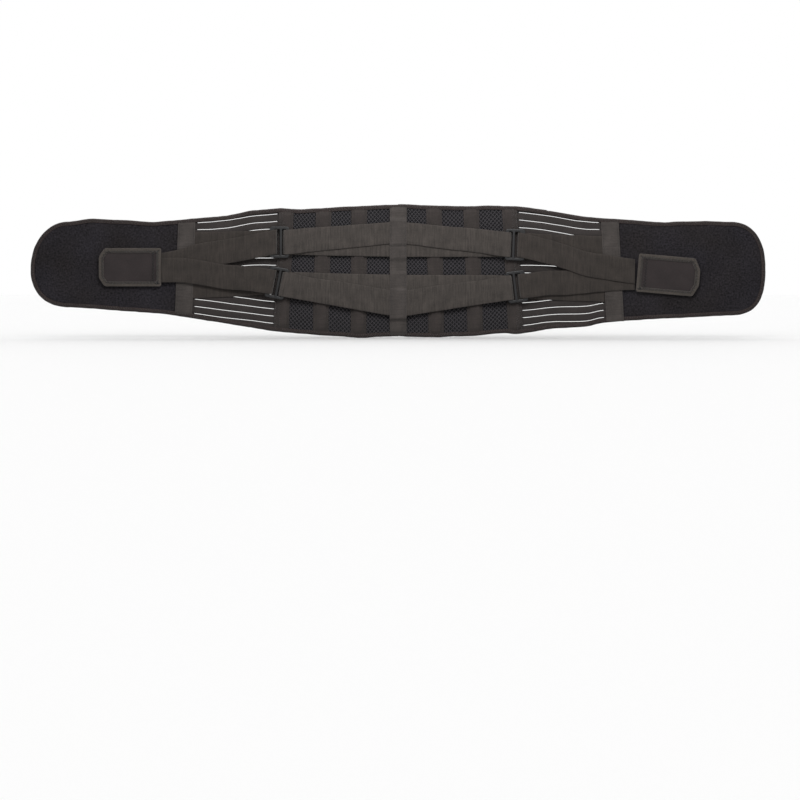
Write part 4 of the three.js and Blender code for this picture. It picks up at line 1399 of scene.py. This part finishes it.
def closed_tape(piece, line, inward, width, thick, normal, material):
    """A tape that runs once round a closed outline, without ends."""
    n = len(line)
    base = tape_section(width, thick, 10)
    m = len(base)
    points = line[:, None] + inward[:, None] * base[None, :, :1] + normal * base[None, :, 1:]
    faces = [(i * m + j, i * m + (j + 1) % m, ((i + 1) % n) * m + (j + 1) % m, ((i + 1) % n) * m + j)
             for i in range(n) for j in range(m)]
    s = lengths(line)
    uv = np.stack([np.repeat(s[:, None], m, 1), np.repeat(base[None, :, 0], n, 0)], -1)
    piece.add(points, faces, uv, material)


def inward_of(line):
    t = np.roll(line, -1, 0) - np.roll(line, 1, 0)
    inward = unit(np.cross(t, OUT))
    if ((line.mean(0) - line) * inward).sum() < 0:
        inward = -inward
    return inward


def tabs():
    """The pull tabs: a cover, a border with zigzag stitching, and the row of stitches over the straps' ends."""
    for name, side in SIDES.items():
        tilt, cut_x, cut_z = TABS[name]
        low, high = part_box(f"{name}_pull_tab")
        centre = np.array((low + high) / 2) * np.array([1, 0, 1])
        half, rise = TAB_LENGTH / 2, TAB_HEIGHT / 2
        corners = [(-half, -rise), (half - cut_x, -rise), (half, -rise + cut_z), (half, rise - cut_z),
                   (half - cut_x, rise), (-half, rise)]
        line = rounded([(side * x, z) for x, z in corners], 3.5 * MM)
        a = math.radians(tilt)
        turn = np.array([[math.cos(a), 0, math.sin(a)], [0, 1, 0], [-math.sin(a), 0, math.cos(a)]])
        line = line @ turn.T + centre
        inward = inward_of(line)
        piece = Piece()
        polar(piece, line + inward * 1.5 * MM, centre,
              lambda s, p: (TAB_FACE - 0.7 * MM * (1 - s**3)
                            + 0.1 * MM * noise(p[..., 0], p[..., 2], 9 * MM, 5)),
              lambda s, p: np.full(p.shape[:2], TAB_BACK))
        closed_tape(piece, line + inward * BORDER / 2 + OUT * BORDER_OUT, inward, BORDER, 1.5 * MM, OUT, 1)
        ring_line = np.concatenate([line, line[:1]])
        ring_in = np.concatenate([inward, inward[:1]])
        seam = ring_line + ring_in * (BORDER - 1.9 * MM) + OUT * BORDER_STITCH_OUT
        zigzag(piece, seam, ring_in, OUT, 3.2 * MM, 5 * MM, 2, 0.8 * MM)
        band = np.array([[side * (BAND - half), 0, way * (rise - BORDER)] for way in (-1, 1)]) @ turn.T + centre
        zigzag(piece, band + OUT * BAND_OUT, unit(turn @ ALONG), OUT, 3 * MM, 4.4 * MM, 2, 0.7 * MM)
        obj = piece.build(f"{name}_tab_cover", "tab_face", "border", "dark_thread")
        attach(keep(obj, "webbing", f"{name}_pull_tab"), f"{name}_tab")


# ---- Lumbar pad ----
def pad_outline():
    """The CAD cushion's outline with the binding's width round it, even and smooth."""
    half = [(24, 71.5), (42, 77), (61, 80.2), (78, 74), (86, 57.5), (83, 40), (66, 13.5), (51, -6.5), (41, -32),
            (32, -52), (18, -69)]
    loop = [(0, 69.5)] + half + [(0, -75.3)] + [(-x, z) for x, z in half[::-1]]
    loop = np.array(loop, float) * MM
    closed = np.concatenate([loop[-3:], loop, loop[:3]])
    s = lengths(closed)
    fx, fz = curve(s, closed[:, 0]), curve(s, closed[:, 1])
    t = np.linspace(s[3], s[3 + len(loop)], 400)
    return even(at(fx(t), 0, fz(t)), 2 * MM)[:-1]


PAD_CENTRE = np.array([0.0, 0.0, 0.018])
PAD_DEPTH = 13.5 * MM
PAD_RIM = 6.8 * MM
PAD_TAPE = (6.4 * MM, 2.4 * MM)  # width and thickness of the tape round the pad


def lumbar_pad():
    """The padded cover and the tape round its edge."""
    line = pad_outline()
    inward = inward_of(line)
    face = line + inward * 3.5 * MM
    piece = Piece()
    polar(piece, face, PAD_CENTRE,
          lambda s, p: np.full(p.shape[:2], 2.0 * MM),
          lambda s, p: PAD_RIM - 1.5 * MM + (PAD_DEPTH - PAD_RIM + 1.5 * MM) * (1 - s**3.4) ** 0.62
          + 0.35 * MM * noise(p[..., 0], p[..., 2], 24 * MM, 9) * (1 - s),
          rings=34)
    obj = piece.build("lumbar_pad_cover", "velour")
    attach(keep(obj, "pad_cover", "lumbar_pad_cushion"), "lumbar_pad")

    piece = Piece()
    closed_tape(piece, line + inward * 3.1 * MM + IN * 5.9 * MM, inward, *PAD_TAPE, IN, 0)
    ring_line = np.concatenate([line, line[:1]])
    ring_in = np.concatenate([inward, inward[:1]])
    zigzag(piece, ring_line + ring_in * 3.2 * MM + IN * 7.15 * MM, ring_in, IN, 3.4 * MM, 3.6 * MM, 1)
    obj = piece.build("lumbar_pad_edge_tape", "binding", "light_thread")
    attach(keep(obj, "binding", "lumbar_pad_binding"), "lumbar_pad")


# ---- CAD pieces that stay as they are: hook patches and stays ----
def carried_over():
    for name, obj in frame["nodes"].items():
        stay = name.endswith("_stay")
        if not (stay or name.endswith("_hook")):
            continue
        mesh = obj.data
        mesh.materials.clear()
        mesh.materials.append(MAT["steel"] if stay else MAT["hook"])
        points = np.array([v.co for v in mesh.vertices])
        cloth_uv(mesh, points[:, [0, 2]])


camera()
studio()
bindings()
lining()
spacer_mesh()
pockets()
centre_tape()
elastic()
flaps()
hook_end()
rings()
straps()
tabs()
lumbar_pad()
carried_over()
